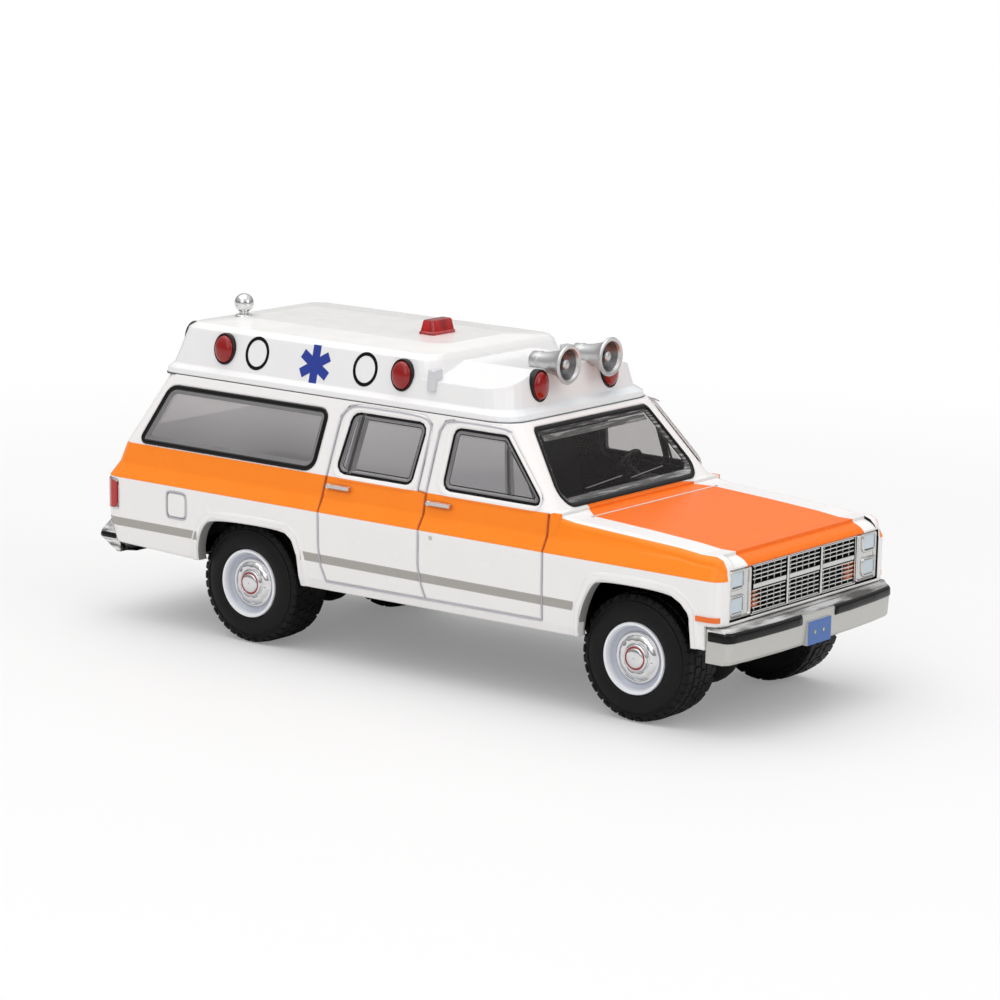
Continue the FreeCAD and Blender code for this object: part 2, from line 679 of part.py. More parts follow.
def grille_insert():
    """Bright moulding: frame, posts, bars and the lamp bezels."""
    x0 = NOSE_X - GRILLE_DEPTH
    x1 = NOSE_X - 0.1
    low, high = grille_heights()
    block = box(x0, x1, -BEZEL_HALF + FIT, BEZEL_HALF - FIT, low, high)
    field = box(x0 + 0.4, x1 + 1, -GRILLE_HALF, GRILLE_HALF, low + 2 * GRILLE_FRAME, high - GRILLE_FRAME)
    parts = [block.cut([field] + both(Part.makeCompound(lens_boxes(0, x1 - 0.55, x1 + 1))))]
    for y in (-GRILLE_HALF / 3, GRILLE_HALF / 3):
        parts.append(box(x0 + 0.2, x1, y - POST_HALF, y + POST_HALF, low, high))
    bars = [(t, FINE_BAR_HALF) for t in GRILLE_BARS] + [(MID_BAR, MID_BAR_HALF)]
    for t, half in bars:
        z = low + (high - low) * t
        parts.append(box(x0 + 0.6, x1 - 0.25, -GRILLE_HALF - 0.1, GRILLE_HALF + 0.1, z - half, z + half))
    return fused(parts)


def headlamp(side):
    x1 = NOSE_X - 0.1
    lens = fused(lens_boxes(-FIT, x1 - 0.5, x1 - 0.15))
    return lens if side < 0 else mirrored(lens)


def turn_lamps(grille):
    """Amber blocks behind the lower outer bars of the grille."""
    x0 = NOSE_X - GRILLE_DEPTH + 0.4 + FIT
    low, high = grille_heights()
    z0 = low + 2 * GRILLE_FRAME + FIT
    z1 = low + (high - low) * 0.45
    block = box(x0, NOSE_X - 0.5, -GRILLE_HALF + FIT, -GRILLE_HALF + 1.6, z0, z1)
    return Part.makeCompound(both(block.cut(grille)))


def side_markers(outer, block):
    """Amber lenses low on the front fenders, standing a little off the skin."""
    x0 = station_x(163.5)
    lens = box(x0, NOSE_X - 0.3, -HALF_WIDTH - 1, -HALF_WIDTH + 3, level_z(35), level_z(39.2))
    return Part.makeCompound(both(lens.common(outer).cut(block)))


def bumper_ring(reach, back, z):
    """Plan outline at height z: bowed front, corners and short returns."""
    half = BUMPER_HALF
    bow = BUMPER_BOW
    face = [(reach, -half * 0.4), (reach - bow * 0.45, -half * 0.75), (reach - bow, -half + 0.6)]
    corner = [(reach - bow - 0.5, -half), (back, -half)]
    inside = [(back, -half + 1.0), (reach - bow - 2.0, -half + 1.6)]
    right = [vec(x, y, z) for x, y in face + corner + inside]
    return right + [vec(p.x, -p.y, p.z) for p in reversed(right)]


def bumper(section, back):
    """Solid front bumper through (height above the sill, set back) levels."""
    return lofted([bumper_ring(FRONT_END_X - inset, back, SILL_Z + height) for height, inset in section])


def turned_about(shape):
    """The same shape at the other end of the model."""
    part = shape.copy()
    part.rotate(vec(0, 0, 0), vec(0, 0, 1), 180)
    return part


def bumper_strip(back, bumper_shape, heights, gap):
    """Rub strip along the face of a bumper, left open for the plate."""
    band = lofted([bumper_ring(FRONT_END_X, back, SILL_Z + height) for height in heights])
    inside = HALF_WIDTH - 1.6
    cuts = [bumper_shape, box(0, back + 1.4, -inside, inside, 0, BELT_Z)]
    if gap > 0:
        cuts.append(box(0, FRONT_END_X + 2, -gap, gap, 0, BELT_Z))
    return band.cut(cuts)


def wheel_turned(levels, sides, turn=0.5):
    """Turned solid about Y for the right side; levels are (radius, distance in from the outer face)."""
    part = turned([(r, TYRE_OUTER_Y - d) for r, d in levels], sides, turn)
    part.rotate(vec(0, 0, 0), vec(1, 0, 0), 90)
    return part


def tyre():
    """Knobbly tyre about its own axis; each lug stands on one flat of the tread."""
    base = TYRE_RADIUS - LUG_HEIGHT
    wall = TYRE_RADIUS - 0.85
    outer = [(RIM_RADIUS + 0.6, 0), (wall, 0.3), (base, 1.1)]
    levels = outer + [(r, TYRE_WIDTH - d) for r, d in reversed(outer)]
    bore = RIM_RADIUS + 0.03
    hole = wheel_turned([(bore, -1), (bore, TYRE_WIDTH + 1)], TYRE_SIDES)
    body = wheel_turned(levels, TYRE_SIDES).cut(hole)
    half = base * math.tan(math.pi / TYRE_SIDES) * 0.93
    lugs = []
    for i in range(TYRE_SIDES):
        y0 = -TYRE_OUTER_Y + 0.65 + (i % 2) * (TYRE_WIDTH - 3.6)
        lug = box(-half, half, y0, y0 + 2.3, base - 0.5, TYRE_RADIUS)
        lug.rotate(vec(0, 0, 0), vec(0, 1, 0), 360.0 * i / TYRE_SIDES)
        lugs.append(lug)
    return fused([body] + lugs)


def rim():
    """Dished steel wheel with a flat hub face."""
    r = RIM_RADIUS
    drum = wheel_turned([(r, 0.05), (r, TYRE_WIDTH - 0.2)], TYRE_SIDES)
    dish = wheel_turned([(r - 0.3, 0), (r - 0.75, 1.0)], TYRE_SIDES)
    back = wheel_turned([(r - 0.6, 2.2), (r - 0.6, TYRE_WIDTH)], TYRE_SIDES)
    bore = wheel_turned([(AXLE_RADIUS + 0.02, -1), (AXLE_RADIUS + 0.02, TYRE_WIDTH)], AXLE_SIDES)
    return drum.cut([dish, back, bore])


def hub_cap():
    r = RIM_RADIUS * 0.68
    levels = [(r, 0.98), (r * 0.86, 0.55), (r * 0.62, 0.42), (r * 0.44, 0.36), (r * 0.38, 0.12)]
    return wheel_turned(levels, TYRE_SIDES)


def axle():
    reach = TYRE_OUTER_Y - 1.05
    return Part.makeCylinder(AXLE_RADIUS, 2 * reach, vec(0, -reach, 0), vec(0, 1, 0))


def chassis_base():
    """Black base moulding with the frame, drive line, tank and exhaust in relief."""
    tread = TYRE_OUTER_Y - TYRE_WIDTH - 0.7
    inside = HALF_WIDTH - WALL - 0.7
    floor = level_z(4)
    front_x = NOSE_X - GRILLE_DEPTH - WALL - 0.4
    rear_x = REAR_END_X + TAIL_PROFILE[0][1] + WALL + 0.8
    gap = TYRE_RADIUS + 1.0
    rail = tread - 0.6
    parts = [box(rear_x, front_x, -tread, tread, floor - 0.6, floor + 0.6)]
    parts.append(box(REAR_AXLE_X + gap + 1.6, FRONT_AXLE_X - gap, -inside, inside, floor - 0.3, floor + 0.6))
    parts.append(box(rear_x, REAR_AXLE_X - gap, -inside, inside, floor + 0.5, floor + 1.2))
    parts.append(box(rear_x, REAR_AXLE_X - gap, -tread, tread, floor, floor + 1.2))
    parts.append(box(front_x - BULKHEAD, front_x, -inside, inside, floor, level_z(64)))
    parts += both(box(front_x - 0.1, NOSE_X - 2.15, -6.5, -5.0, floor + 0.3, floor + 1.8))
    for x in (FRONT_AXLE_X, REAR_AXLE_X):
        parts.append(box(x - 1.5, x + 1.5, -tread + 0.2, tread - 0.2, TYRE_RADIUS - 1.4, floor))
        parts += both(box(x - 5.0, x + 5.0, -rail, -rail + 1.3, TYRE_RADIUS - 0.6, floor))
        casing = turned([(1.5, -1.9), (2.3, -1.2), (2.3, 0.2), (1.2, 1.6)], 12)
        parts.append(casing.translated(vec(x, 1.2, TYRE_RADIUS - 0.6)))
    parts += both(box(rear_x + 1, front_x - 1, -rail + 1.5, -rail + 2.4, floor - 1.1, floor))
    case_x = station_x(44)
    parts.append(box(case_x - 2.6, case_x + 2.6, -3.0, 3.4, TYRE_RADIUS - 0.9, floor))
    parts.append(bar(vec(REAR_AXLE_X + 1.2, 0, TYRE_RADIUS), vec(case_x, 0, TYRE_RADIUS), 0.55))
    parts.append(bar(vec(case_x, 0, TYRE_RADIUS), vec(FRONT_AXLE_X - 1.2, 0, TYRE_RADIUS), 0.55))
    tank_x = REAR_AXLE_X - gap
    parts.append(box(tank_x - 8.0, tank_x, -5.5, 5.5, TYRE_RADIUS - 0.2, floor + 0.2))
    base = fused(parts)
    bores = []
    for x in (FRONT_AXLE_X, REAR_AXLE_X):
        start = vec(x, -HALF_WIDTH, TYRE_RADIUS)
        bores.append(Part.makeCylinder(AXLE_RADIUS + AXLE_PLAY, 2 * HALF_WIDTH, start, vec(0, 1, 0)))
    return base.cut(bores)


def interior_tub():
    """Black interior with three bench seats on a raised floor."""
    half = HALF_WIDTH - WALL - 2.0
    floor = level_z(40)
    parts = [box(station_x(-55), station_x(75), -half, half, floor - 1.0, floor)]
    for station in (56, 33, 9):
        x = station_x(station)
        parts.append(box(x - 3.2, x + 3.0, -half + 1.3, half - 1.3, floor - 0.5, floor + 3.4))
        back = [(x - 3.2, floor), (x - 2.2, floor), (x - 4.2, BELT_Z + 3.4), (x - 5.2, BELT_Z + 3.2)]
        parts.append(prism_y(back, -half + 1.3, half - 1.3))
    parts.append(box(station_x(24), station_x(52), -3.0, 3.0, level_z(4) + 0.6, floor - 0.5))
    tub = fused(parts)
    wells = []
    inner = -TYRE_OUTER_Y + TYRE_WIDTH + 0.8
    for x in (FRONT_AXLE_X, REAR_AXLE_X):
        start = vec(x, -HALF_WIDTH, TYRE_RADIUS)
        wells += both(bar(start, vec(x, inner, TYRE_RADIUS), TYRE_RADIUS + 0.9, TYRE_SIDES))
    return tub.cut(wells)


def dashboard():
    half = HALF_WIDTH - WALL - 2.1
    x = COWL_X - 3.0
    low = BELT_Z - 3.6
    high = BELT_Z - 0.5
    top = [(x - 1.6, low), (x + 1.4, low), (x + 1.4, high), (x - 0.6, high), (x - 1.6, high - 0.8)]
    column = box(x - 0.8, x + 0.8, -2.0, 2.0, level_z(40) + FIT, BELT_Z - 3.5)
    hood = [(x - 1.2, high - 0.1), (x + 1.2, high - 0.1), (x + 0.6, BELT_Z + 0.5), (x - 0.8, BELT_Z + 0.5)]
    return fused([prism_y(top, -half, half), column, prism_y(hood, WHEEL_Y - 1.8, WHEEL_Y + 1.8)])


def steering_wheel(dash):
    """Driver's wheel on a short column that ends in the hood of the dashboard."""
    rim_ring = turned([(2.1, -0.2), (2.1, 0.2)], 16).cut(turned([(1.7, -1), (1.7, 1)], 16))
    spoke = box(-1.85, 1.85, -0.25, 0.25, -0.15, 0.15)
    column = turned([(0.3, -2.8), (0.5, -0.1), (0.5, 0.25)], 8)
    wheel = fused([rim_ring, spoke, column])
    wheel.rotate(vec(0, 0, 0), vec(0, 1, 0), -62)
    wheel.translate(vec(COWL_X - 5.45, WHEEL_Y, BELT_Z + 1.35))
    return wheel.cut(dash)


def tail_lamp(outer, inner, side):
    lens = tail_lamp_box(0).common(outer).cut(inner)
    return lens if side < 0 else mirrored(lens)


def export(name, shape):
    if shape.ShapeType == "Compound" and len(shape.Solids) == 1:
        shape = shape.Solids[0]
    shape.exportStep("parts/" + name + ".step")


def export_wheels():
    pieces = {"tyre": tyre(), "rim": rim(), "hub_cap": hub_cap()}
    pin = axle()
    for end, x in (("front", FRONT_AXLE_X), ("rear", REAR_AXLE_X)):
        place = vec(x, 0, TYRE_RADIUS)
        export(end + "_axle", pin.translated(place))
        for name, piece in pieces.items():
            export(end + "_" + name + "_right", piece.translated(place))
            export(end + "_" + name + "_left", mirrored(piece).translated(place))


def export_roof(cap):
    export("roof_cap", cap)
    bezels = []
    for site in lamp_sites():
        bezels += lamp_bezel(site, cap).Solids
        export(site[0], lamp_dome(site, cap))
    export("lamp_bezels", Part.makeCompound(bezels))
    export("roof_markers", roof_markers(cap))
    export("beacon", beacon(cap))
    export("ball_lamp", ball_lamp(cap))
    export("horn_right", horn(-1, cap))
    export("horn_left", horn(1, cap))


def export_front(outer, block):
    grille = grille_insert()
    export("grille_insert", grille)
    export("headlamp_right", headlamp(-1))
    export("headlamp_left", headlamp(1))
    export("turn_lamps", turn_lamps(grille))
    export("side_markers", side_markers(outer, block))


def export_bumpers(block):
    front = bumper(FRONT_BUMPER_SECTION, FRONT_BUMPER_BACK)
    rear = bumper(REAR_BUMPER_SECTION, REAR_BUMPER_BACK)
    strips = bumper_strip(FRONT_BUMPER_BACK, front, FRONT_STRIP, PLATE_HALF + 0.9).Solids
    strips += turned_about(bumper_strip(REAR_BUMPER_BACK, rear, REAR_STRIP, 0)).cut(block).Solids
    export("front_bumper", front)
    export("rear_bumper", turned_about(rear).cut(block))
    export("bumper_strips", Part.makeCompound(strips))
    low = SILL_Z + 0.1
    plate = box(FRONT_END_X - 1.5, FRONT_END_X, -PLATE_HALF, PLATE_HALF, low, low + PLATE_HEIGHT)
    export("front_plate", plate.cut(front))


def main():
    os.makedirs("parts", exist_ok=True)
    block = body_block(0.0)
    export("body_shell", body_shell(block))
    export("window_insert", window_insert())
    export("interior_tub", interior_tub())
    dash = dashboard()
    export("dashboard", dash)
    export("steering_wheel", steering_wheel(dash))
    export("chassis_base", chassis_base())
    export_roof(roof_cap())
    outer = body_block(-LENS_RISE)
    export_front(outer, block)
    export_bumpers(block)
    inner = body_block(0.42)
    export("tail_lamp_right", tail_lamp(outer, inner, -1))
    export("tail_lamp_left", tail_lamp(outer, inner, 1))
    export_wheels()


main()
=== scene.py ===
import math
from functools import reduce

import bmesh
import bpy
from mathutils import Matrix, Vector


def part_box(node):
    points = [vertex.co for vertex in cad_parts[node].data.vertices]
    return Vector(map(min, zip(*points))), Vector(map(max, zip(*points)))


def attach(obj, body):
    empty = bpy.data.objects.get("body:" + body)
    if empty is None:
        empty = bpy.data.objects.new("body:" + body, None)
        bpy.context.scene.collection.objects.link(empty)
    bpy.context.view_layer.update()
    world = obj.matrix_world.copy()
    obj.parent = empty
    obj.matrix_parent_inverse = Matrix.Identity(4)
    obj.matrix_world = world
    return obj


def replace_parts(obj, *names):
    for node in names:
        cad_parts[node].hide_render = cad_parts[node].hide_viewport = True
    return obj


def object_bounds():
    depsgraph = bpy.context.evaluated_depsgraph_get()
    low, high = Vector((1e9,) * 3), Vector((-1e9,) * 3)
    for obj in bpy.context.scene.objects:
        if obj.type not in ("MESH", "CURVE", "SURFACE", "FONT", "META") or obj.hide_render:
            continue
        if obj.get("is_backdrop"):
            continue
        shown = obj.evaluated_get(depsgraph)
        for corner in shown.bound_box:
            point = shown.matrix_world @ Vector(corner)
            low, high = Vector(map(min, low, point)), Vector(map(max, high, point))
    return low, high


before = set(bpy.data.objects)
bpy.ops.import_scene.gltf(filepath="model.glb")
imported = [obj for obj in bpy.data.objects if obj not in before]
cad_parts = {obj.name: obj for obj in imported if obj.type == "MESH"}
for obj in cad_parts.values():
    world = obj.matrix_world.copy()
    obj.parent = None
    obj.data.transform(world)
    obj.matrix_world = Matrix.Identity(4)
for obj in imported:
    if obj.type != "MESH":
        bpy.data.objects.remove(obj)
CAD_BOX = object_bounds()
MM = 0.001

# Driving sizes of the part in millimetres, as in its source
WHEELBASE = 51.4
FRONT_OVERHANG = 12.9
REAR_OVERHANG = 22.2
HALF_WIDTH = 15.8
SILL_Z = 7.8
BELT_Z = 20.3
GUTTER_Z = 28.3
CAP_HEIGHT = 6.05
TYRE_RADIUS = 6.7
SIDE_SECTION = [(0, 0.6), (9, 0.28), (30, 0.08), (69, 0), (81, 0.8), (100, 1.05), (200, 2.75)]

# Places that follow from them
FRONT_END_X = (WHEELBASE + FRONT_OVERHANG + REAR_OVERHANG) / 2
REAR_END_X = -FRONT_END_X
FRONT_AXLE_X = FRONT_END_X - FRONT_OVERHANG
REAR_AXLE_X = REAR_END_X + REAR_OVERHANG
TYRE_OUTER_Y = HALF_WIDTH - 1.2
TYRE_WIDTH = 5.9
RIM_RADIUS = TYRE_RADIUS * 0.56
BEZEL_HALF = HALF_WIDTH - 1.85
GRILLE_HALF = HALF_WIDTH - 6
GRILLE_LOW_Z = SILL_Z + 4.31
GRILLE_HIGH_Z = BELT_Z - 3.01
BELT_HALF = HALF_WIDTH - 1.05
GUTTER_HALF = HALF_WIDTH - 2.75
LAMP_Z = GUTTER_Z + 0.56 * CAP_HEIGHT
LAMP_WIDTH = 2.9
LAMP_HEIGHT = 3.5


def station_x(station):
    """X of a station: -100 rear end, 0 rear axle, 100 front axle, 200 front end."""
    if station < 0:
        return REAR_AXLE_X + station / 100 * REAR_OVERHANG
    if station <= 100:
        return REAR_AXLE_X + station / 100 * WHEELBASE
    return FRONT_AXLE_X + (station - 100) / 100 * FRONT_OVERHANG


def level_z(level):
    """Z of a level: 0 sill, 100 belt, 200 gutter."""
    if level <= 100:
        return SILL_Z + level / 100 * (BELT_Z - SILL_Z)
    return BELT_Z + (level - 100) / 100 * (GUTTER_Z - BELT_Z)


def side_half(z):
    """Half width of the body side at a height."""
    section = [(level_z(level), HALF_WIDTH - inward) for level, inward in SIDE_SECTION]
    for (z0, h0), (z1, h1) in zip(section, section[1:]):
        if z <= z1:
            return h0 + (h1 - h0) * (z - z0) / (z1 - z0)
    return section[-1][1]


COWL_X = station_x(79.6)
SCREEN_TOP_X = station_x(67.1)
HOOD_SEAM_X = station_x(84.8)
SIDES = (("right", -1), ("left", 1))

# Window outlines on the side as (station, level) corners, with corner radii
QUARTER_WINDOW = ([(-73, 100.5), (-56.5, 186), (20, 186), (18, 100.5)], [0.7, 2, 1, 1.7])
REAR_DOOR_WINDOW = ([(23.5, 104), (26.2, 187.5), (46, 187.5), (43.8, 104)], [1, 1.3, 1, 1])
FRONT_DOOR_WINDOW = ([(51.5, 105), (52.7, 187.5), (66.1, 187.5), (77.9, 105)], [1, 1, 1.2, 0.6])

# Shut lines on the side as (station, level)
REAR_DOOR_LINE = [(23, 9), (21.6, 22), (21, 39), (20.8, 82), (21.5, 98), (22.5, 146), (23.2, 179),
                  (25, 192.5), (27.5, 195.5), (44.7, 195.5), (46.8, 186), (46.8, 176), (45.6, 100)]
FRONT_DOOR_LINE = [(49.3, 10), (48.2, 22), (47.4, 38), (47.4, 69), (47.8, 98), (49, 179),
                   (50.2, 192.5), (52.5, 195.5), (65, 195.5), (67.2, 192)]
SILL_LINE = [(23, 9), (49.3, 10), (78.9, 11)]
DOOR_FRONT_LINE = [(78.9, 11), (78.9, 69), (78.9, 81), (78.9, 99)]
FILLER_LINE = [(-48, 39.8), (-49.2, 42), (-49.2, 61.5), (-48, 63.7), (-37.5, 63.7), (-36.3, 61.5), (-36.3, 42),
               (-37.5, 39.8), (-48, 39.8)]
REAR_ARCH = [(-0.96, 1), (-0.97, 1.53), (-0.85, 1.86), (-0.65, 2.02), (0.87, 2.05), (1.07, 1.91),
             (1.17, 1.67), (1.27, 1)]
FRONT_ARCH = [(-0.97, 1), (-0.91, 1.61), (-0.71, 2.06), (-0.53, 2.17), (0.71, 2.17), (0.96, 2.04),
              (1.11, 1.88), (1.19, 1)]
FRAME_FOOT_Z = 19
HANDLE_STATIONS = (48.4, 22)
HANDLE_Z = level_z(91)
LOCK_PLACE = (5, 15.73)
CAP_SHADOW_Z = (GUTTER_Z - 0.08, GUTTER_Z + 0.1)
AXLE_CASE_Y = -1.4
CAP_SIDE_Y = 12.4
RING_STATIONS = (("rear", -22.3), ("front", -7.2))
RING_Z = 31.7
RING_HALF = (1.66, 1.8)
STAR_CENTRE = (-14.1, 31.4)


def lin(*rgb):
    """Linear colour from 0 to 255 display values."""
    return tuple(((c / 255 + 0.055) / 1.055) ** 2.4 if c > 10 else c / 255 / 12.92 for c in rgb) + (1,)


def scaled(color, factor):
    return tuple(c * factor for c in color[:3]) + (1,)


class Nodes:
    """Small helper that adds and links shader nodes."""

    def __init__(self, owner):
        self.mat = owner
        owner.use_nodes = True
        self.tree = owner.node_tree
        self.bsdf = self.tree.nodes.get("Principled BSDF")

    def link(self, a, b):
        self.tree.links.new(a, b)

    def put(self, socket, value):
        """Set a plain value or link an output."""
        if isinstance(value, (int, float, tuple)):
            socket.default_value = value
        else:
            self.link(value, socket)

    def add(self, kind, values=(), **settings):
        """New node with settings, and values on its inputs by name or number."""
        node = self.tree.nodes.new("ShaderNode" + kind)
        for key, value in settings.items():
            setattr(node, key, value)
        for key, value in values:
            self.put(node.inputs[key], value)
        return node

    def math(self, op, *values, clamp=False):
        return self.add("Math", enumerate(values), operation=op, use_clamp=clamp).outputs[0]

    def times(self, *values):
        return reduce(lambda a, b: self.math("MULTIPLY", a, b), values)

    def plus(self, *values):
        """Sum, held between 0 and 1."""
        return reduce(lambda a, b: self.math("ADD", a, b, clamp=True), values)

    def invert(self, value):
        return self.math("SUBTRACT", 1, value)

    def step(self, value, edge, soft=0.04):
        """0 below the edge and 1 above it, in millimetres."""
        limits = (("From Min", (edge - soft) * MM), ("From Max", (edge + soft) * MM))
        return self.add("MapRange", limits + (("Value", value),)).outputs["Result"]

    def band(self, value, low, high, soft=0.04):
        return self.times(self.step(value, low, soft), self.invert(self.step(value, high, soft)))

    def mix(self, factor, a, b):
        return self.add("Mix", ((0, factor), (6, a), (7, b)), data_type="RGBA").outputs[2]

    def split(self, vector):
        return tuple(self.add("SeparateXYZ", ((0, vector),)).outputs)

    def coords(self):
        """Object coordinates in metres: vector, x, y, z."""
        vector = self.add("TexCoord").outputs["Object"]
        return (vector,) + self.split(vector)

    def noise(self, vector, scale, detail=3):
        return self.add("TexNoise", (("Scale", scale), ("Detail", detail), ("Vector", vector))).outputs["Fac"]

    def stretched(self, vector, scale, noise_scale, detail, edge, soft):
        """Streaks: noise drawn out along an axis, with a firm edge."""
        wide = self.add("Mapping", (("Scale", scale), (0, vector))).outputs[0]
        return self.step(self.times(self.noise(wide, noise_scale, detail), MM), edge, soft)

    def around(self, vector, value, spread):
        """Value that varies by spread up and down."""
        return self.math("ADD", value - spread, self.times(self.noise(vector, 420), 2 * spread))

    def surface(self, height, bump, bevel):
        """Normal with fine bump and rounded edges."""
        node = self.add("Bump", (("Strength", bump), ("Distance", 0.05 * MM), ("Height", height)))
        if bevel:
            self.link(self.add("Bevel", (("Radius", bevel * MM),), samples=6).outputs[0], node.inputs["Normal"])
        self.link(node.outputs[0], self.bsdf.inputs["Normal"])

    def blend(self, share, first, second):
        """Mix of two shaders on the output."""
        mixed = self.add("MixShader", ((0, share), (1, first.outputs[0]), (2, second.outputs[0])))
        self.link(mixed.outputs[0], self.tree.nodes["Material Output"].inputs[0])
        return self.mat

    def finish(self, vector, color, rough, vary=0.05, grain=2000, bump=0.04, bevel=0, metallic=0, coat=0,
               gloss=0.5):
        """Colour, uneven roughness and fine bump on the shader."""
        if isinstance(rough, (int, float)):
            rough = self.around(vector, rough, vary)
        for key, value in (("Specular IOR Level", gloss), ("Base Color", color), ("Metallic", metallic),
                           ("Coat Weight", coat), ("Coat Roughness", 0.06), ("Roughness", rough)):
            self.put(self.bsdf.inputs[key], value)
        self.surface(self.noise(vector, grain), bump, bevel)
        return self.mat


def material(name):
    """New material's helper with its object coordinates: vector, x, y, z."""
    m = Nodes(bpy.data.materials.new(name))
    return (m,) + m.coords()


def plain(name, color, rough, shade=0.94, scale=300, detail=4, **more):
    """Moulded, printed or painted surface whose colour varies a little."""
    m, vector, x, y, z = material(name)
    tone = m.mix(m.noise(vector, scale, detail), color, scaled(color, shade))
    return m.finish(vector, tone, rough, **more)


def plated(name, color, rough, bevel=0):
    """Metal plating."""
    return plain(name, color, rough, 0.86, 500, 3, vary=0.03, grain=1500, bump=0.05, bevel=bevel,
                 metallic=1)


WHITE = lin(238, 236, 235)
ORANGE = lin(251, 132, 30)
STRIPE = lin(166, 162, 157)
BLACK = lin(17, 17, 18)
BAND_LOW_Z = 16.32
BAND_HIGH_Z = 20.22
CREST_Y = 14.35
HOOD_Y = 11
STRIPE_Z = (10.82, 11.78)
STRIPE_REAR_X = -27.45
STRIPE_DOORS_X = (-12.65, 23.5)
ARCH_WALL_Y = 12
CABIN_WALL_Y = 14.5
CABIN_CENTRE = (-3 * MM, 0, 18 * MM)
COWL_ORANGE_Y = 8.7
CAP_SHOULDER_Z = 33.6
CAP_NOSE_X = 11.4
TAIL_GLASS_X = -33
DOOR_GLASS_X = -12
GLASS_MIDDLE_Z = 24
GLASS_TOP_Z = 27


def inward_shade(m, vector, y):
    """1 on the faces of the shell that look into the cabin or the arches, which are painted black as shade."""
    normal = m.add("NewGeometry").outputs["True Normal"]
    out = m.times(m.split(normal)[1], m.math("SIGN", y))
    half = m.math("ABSOLUTE", y)
    walls = m.times(m.math("LESS_THAN", out, -0.3), m.step(half, ARCH_WALL_Y))
    away = m.add("VectorMath", ((0, vector), (1, CABIN_CENTRE)), operation="SUBTRACT").outputs[0]
    dot = m.add("VectorMath", ((0, normal), (1, away)), operation="DOT_PRODUCT").outputs["Value"]
    return m.plus(walls, m.times(m.math("LESS_THAN", dot, 0), m.invert(m.step(half, CABIN_WALL_Y))))


def orange_area(m, x, y, z):
    """1 on the side bands, the fender sides, the hood and the cowl."""
    half = m.math("ABSOLUTE", y)
    side_band = m.band(z, BAND_LOW_Z, BAND_HIGH_Z)
    ahead = m.step(x, COWL_X)
    fender = m.times(m.step(z, BAND_LOW_Z), m.step(half, CREST_Y))
    hood = m.invert(m.step(half, HOOD_Y))
    # The orange of the cowl narrows towards the windscreen
    narrow = m.math("ADD", COWL_ORANGE_Y * MM, m.times(m.math("SUBTRACT", x, COWL_X * MM), 0.86))
    cowl = m.math("LESS_THAN", half, narrow)
    past_seam = m.step(x, HOOD_SEAM_X)
    top = m.plus(m.times(past_seam, hood), m.times(m.invert(past_seam), cowl))
    front = m.plus(fender, m.times(top, m.step(z, GRILLE_HIGH_Z - 0.1)))
    return m.plus(m.times(ahead, front), m.times(m.invert(ahead), side_band))


def handle_recess_shade(m, x, z):
    """1 in the shallow finger recess behind each door pull, where darker orange is painted as shade."""
    total = 0
    for station in HANDLE_STATIONS:
        parts = []
        for value, middle, reach in ((x, station_x(station) + 1.75, 1.95), (z, HANDLE_Z - 0.05, 0.52)):
            share = m.math("DIVIDE", m.math("SUBTRACT", value, middle * MM), reach * MM)
            parts.append(m.math("POWER", m.math("ABSOLUTE", share), 3))
        total = m.plus(total, m.invert(m.math("SMOOTH_MIN", m.math("ADD", *parts), 1)))
    return total


def body_paint():
    """White paint, orange bands and hood, grey stripe; painted shade: black inside, deeper orange on hood and
    pull recesses.
    """
    m, vector, x, y, z = material("body_paint")
    vary = m.noise(vector, 260, 2)
    warm = m.mix(vary, ORANGE, lin(251, 136, 36))
    # Painted shade: the hood top takes a deeper orange than the side bands of the same paint
    hood = m.times(m.step(x, COWL_X), m.invert(m.step(m.math("ABSOLUTE", y), HOOD_Y + 1.6)))
    warm = m.mix(hood, warm, lin(251, 114, 1))
    # Painted shade: darker orange in the finger recess behind each door pull
    warm = m.mix(m.times(handle_recess_shade(m, x, z), 0.55), warm, lin(176, 62, 8))
    color = m.mix(orange_area(m, x, y, z), m.mix(vary, WHITE, scaled(WHITE, 0.97)), warm)
    clear = m.plus(m.invert(m.step(x, STRIPE_REAR_X)), m.band(x, *STRIPE_DOORS_X))
    color = m.mix(m.times(m.band(z, *STRIPE_Z), clear), color, STRIPE)
    # Painted shade: faces looking into the cabin and the arches, the window opening walls among them, are
    # painted black
    color = m.mix(inward_shade(m, vector, y), color, BLACK)
    return m.finish(vector, color, 0.26, 0.04, 1500, 0.02, 0.3, coat=0.05, gloss=0.18)


def lens(name, color, rough=0.14):
    """Coloured plastic lens."""
    return plain(name, color, rough, 0.75, 900, vary=0.03, grain=2200, bump=0.03, bevel=0.08, coat=0.25,
                 gloss=0.4)


def fluted():
    """Pale headlamp lens with fine upright flutes."""
    m, vector, x, y, z = material("lamp_lens")
    m.finish(vector, m.mix(m.noise(vector, 300), lin(204, 214, 222), lin(186, 198, 208)), 0.12, coat=0.4)
    m.surface(m.math("SINE", m.times(y, 2 * math.pi / (0.3 * MM))), 0.12, 0.08)
    return m.mat


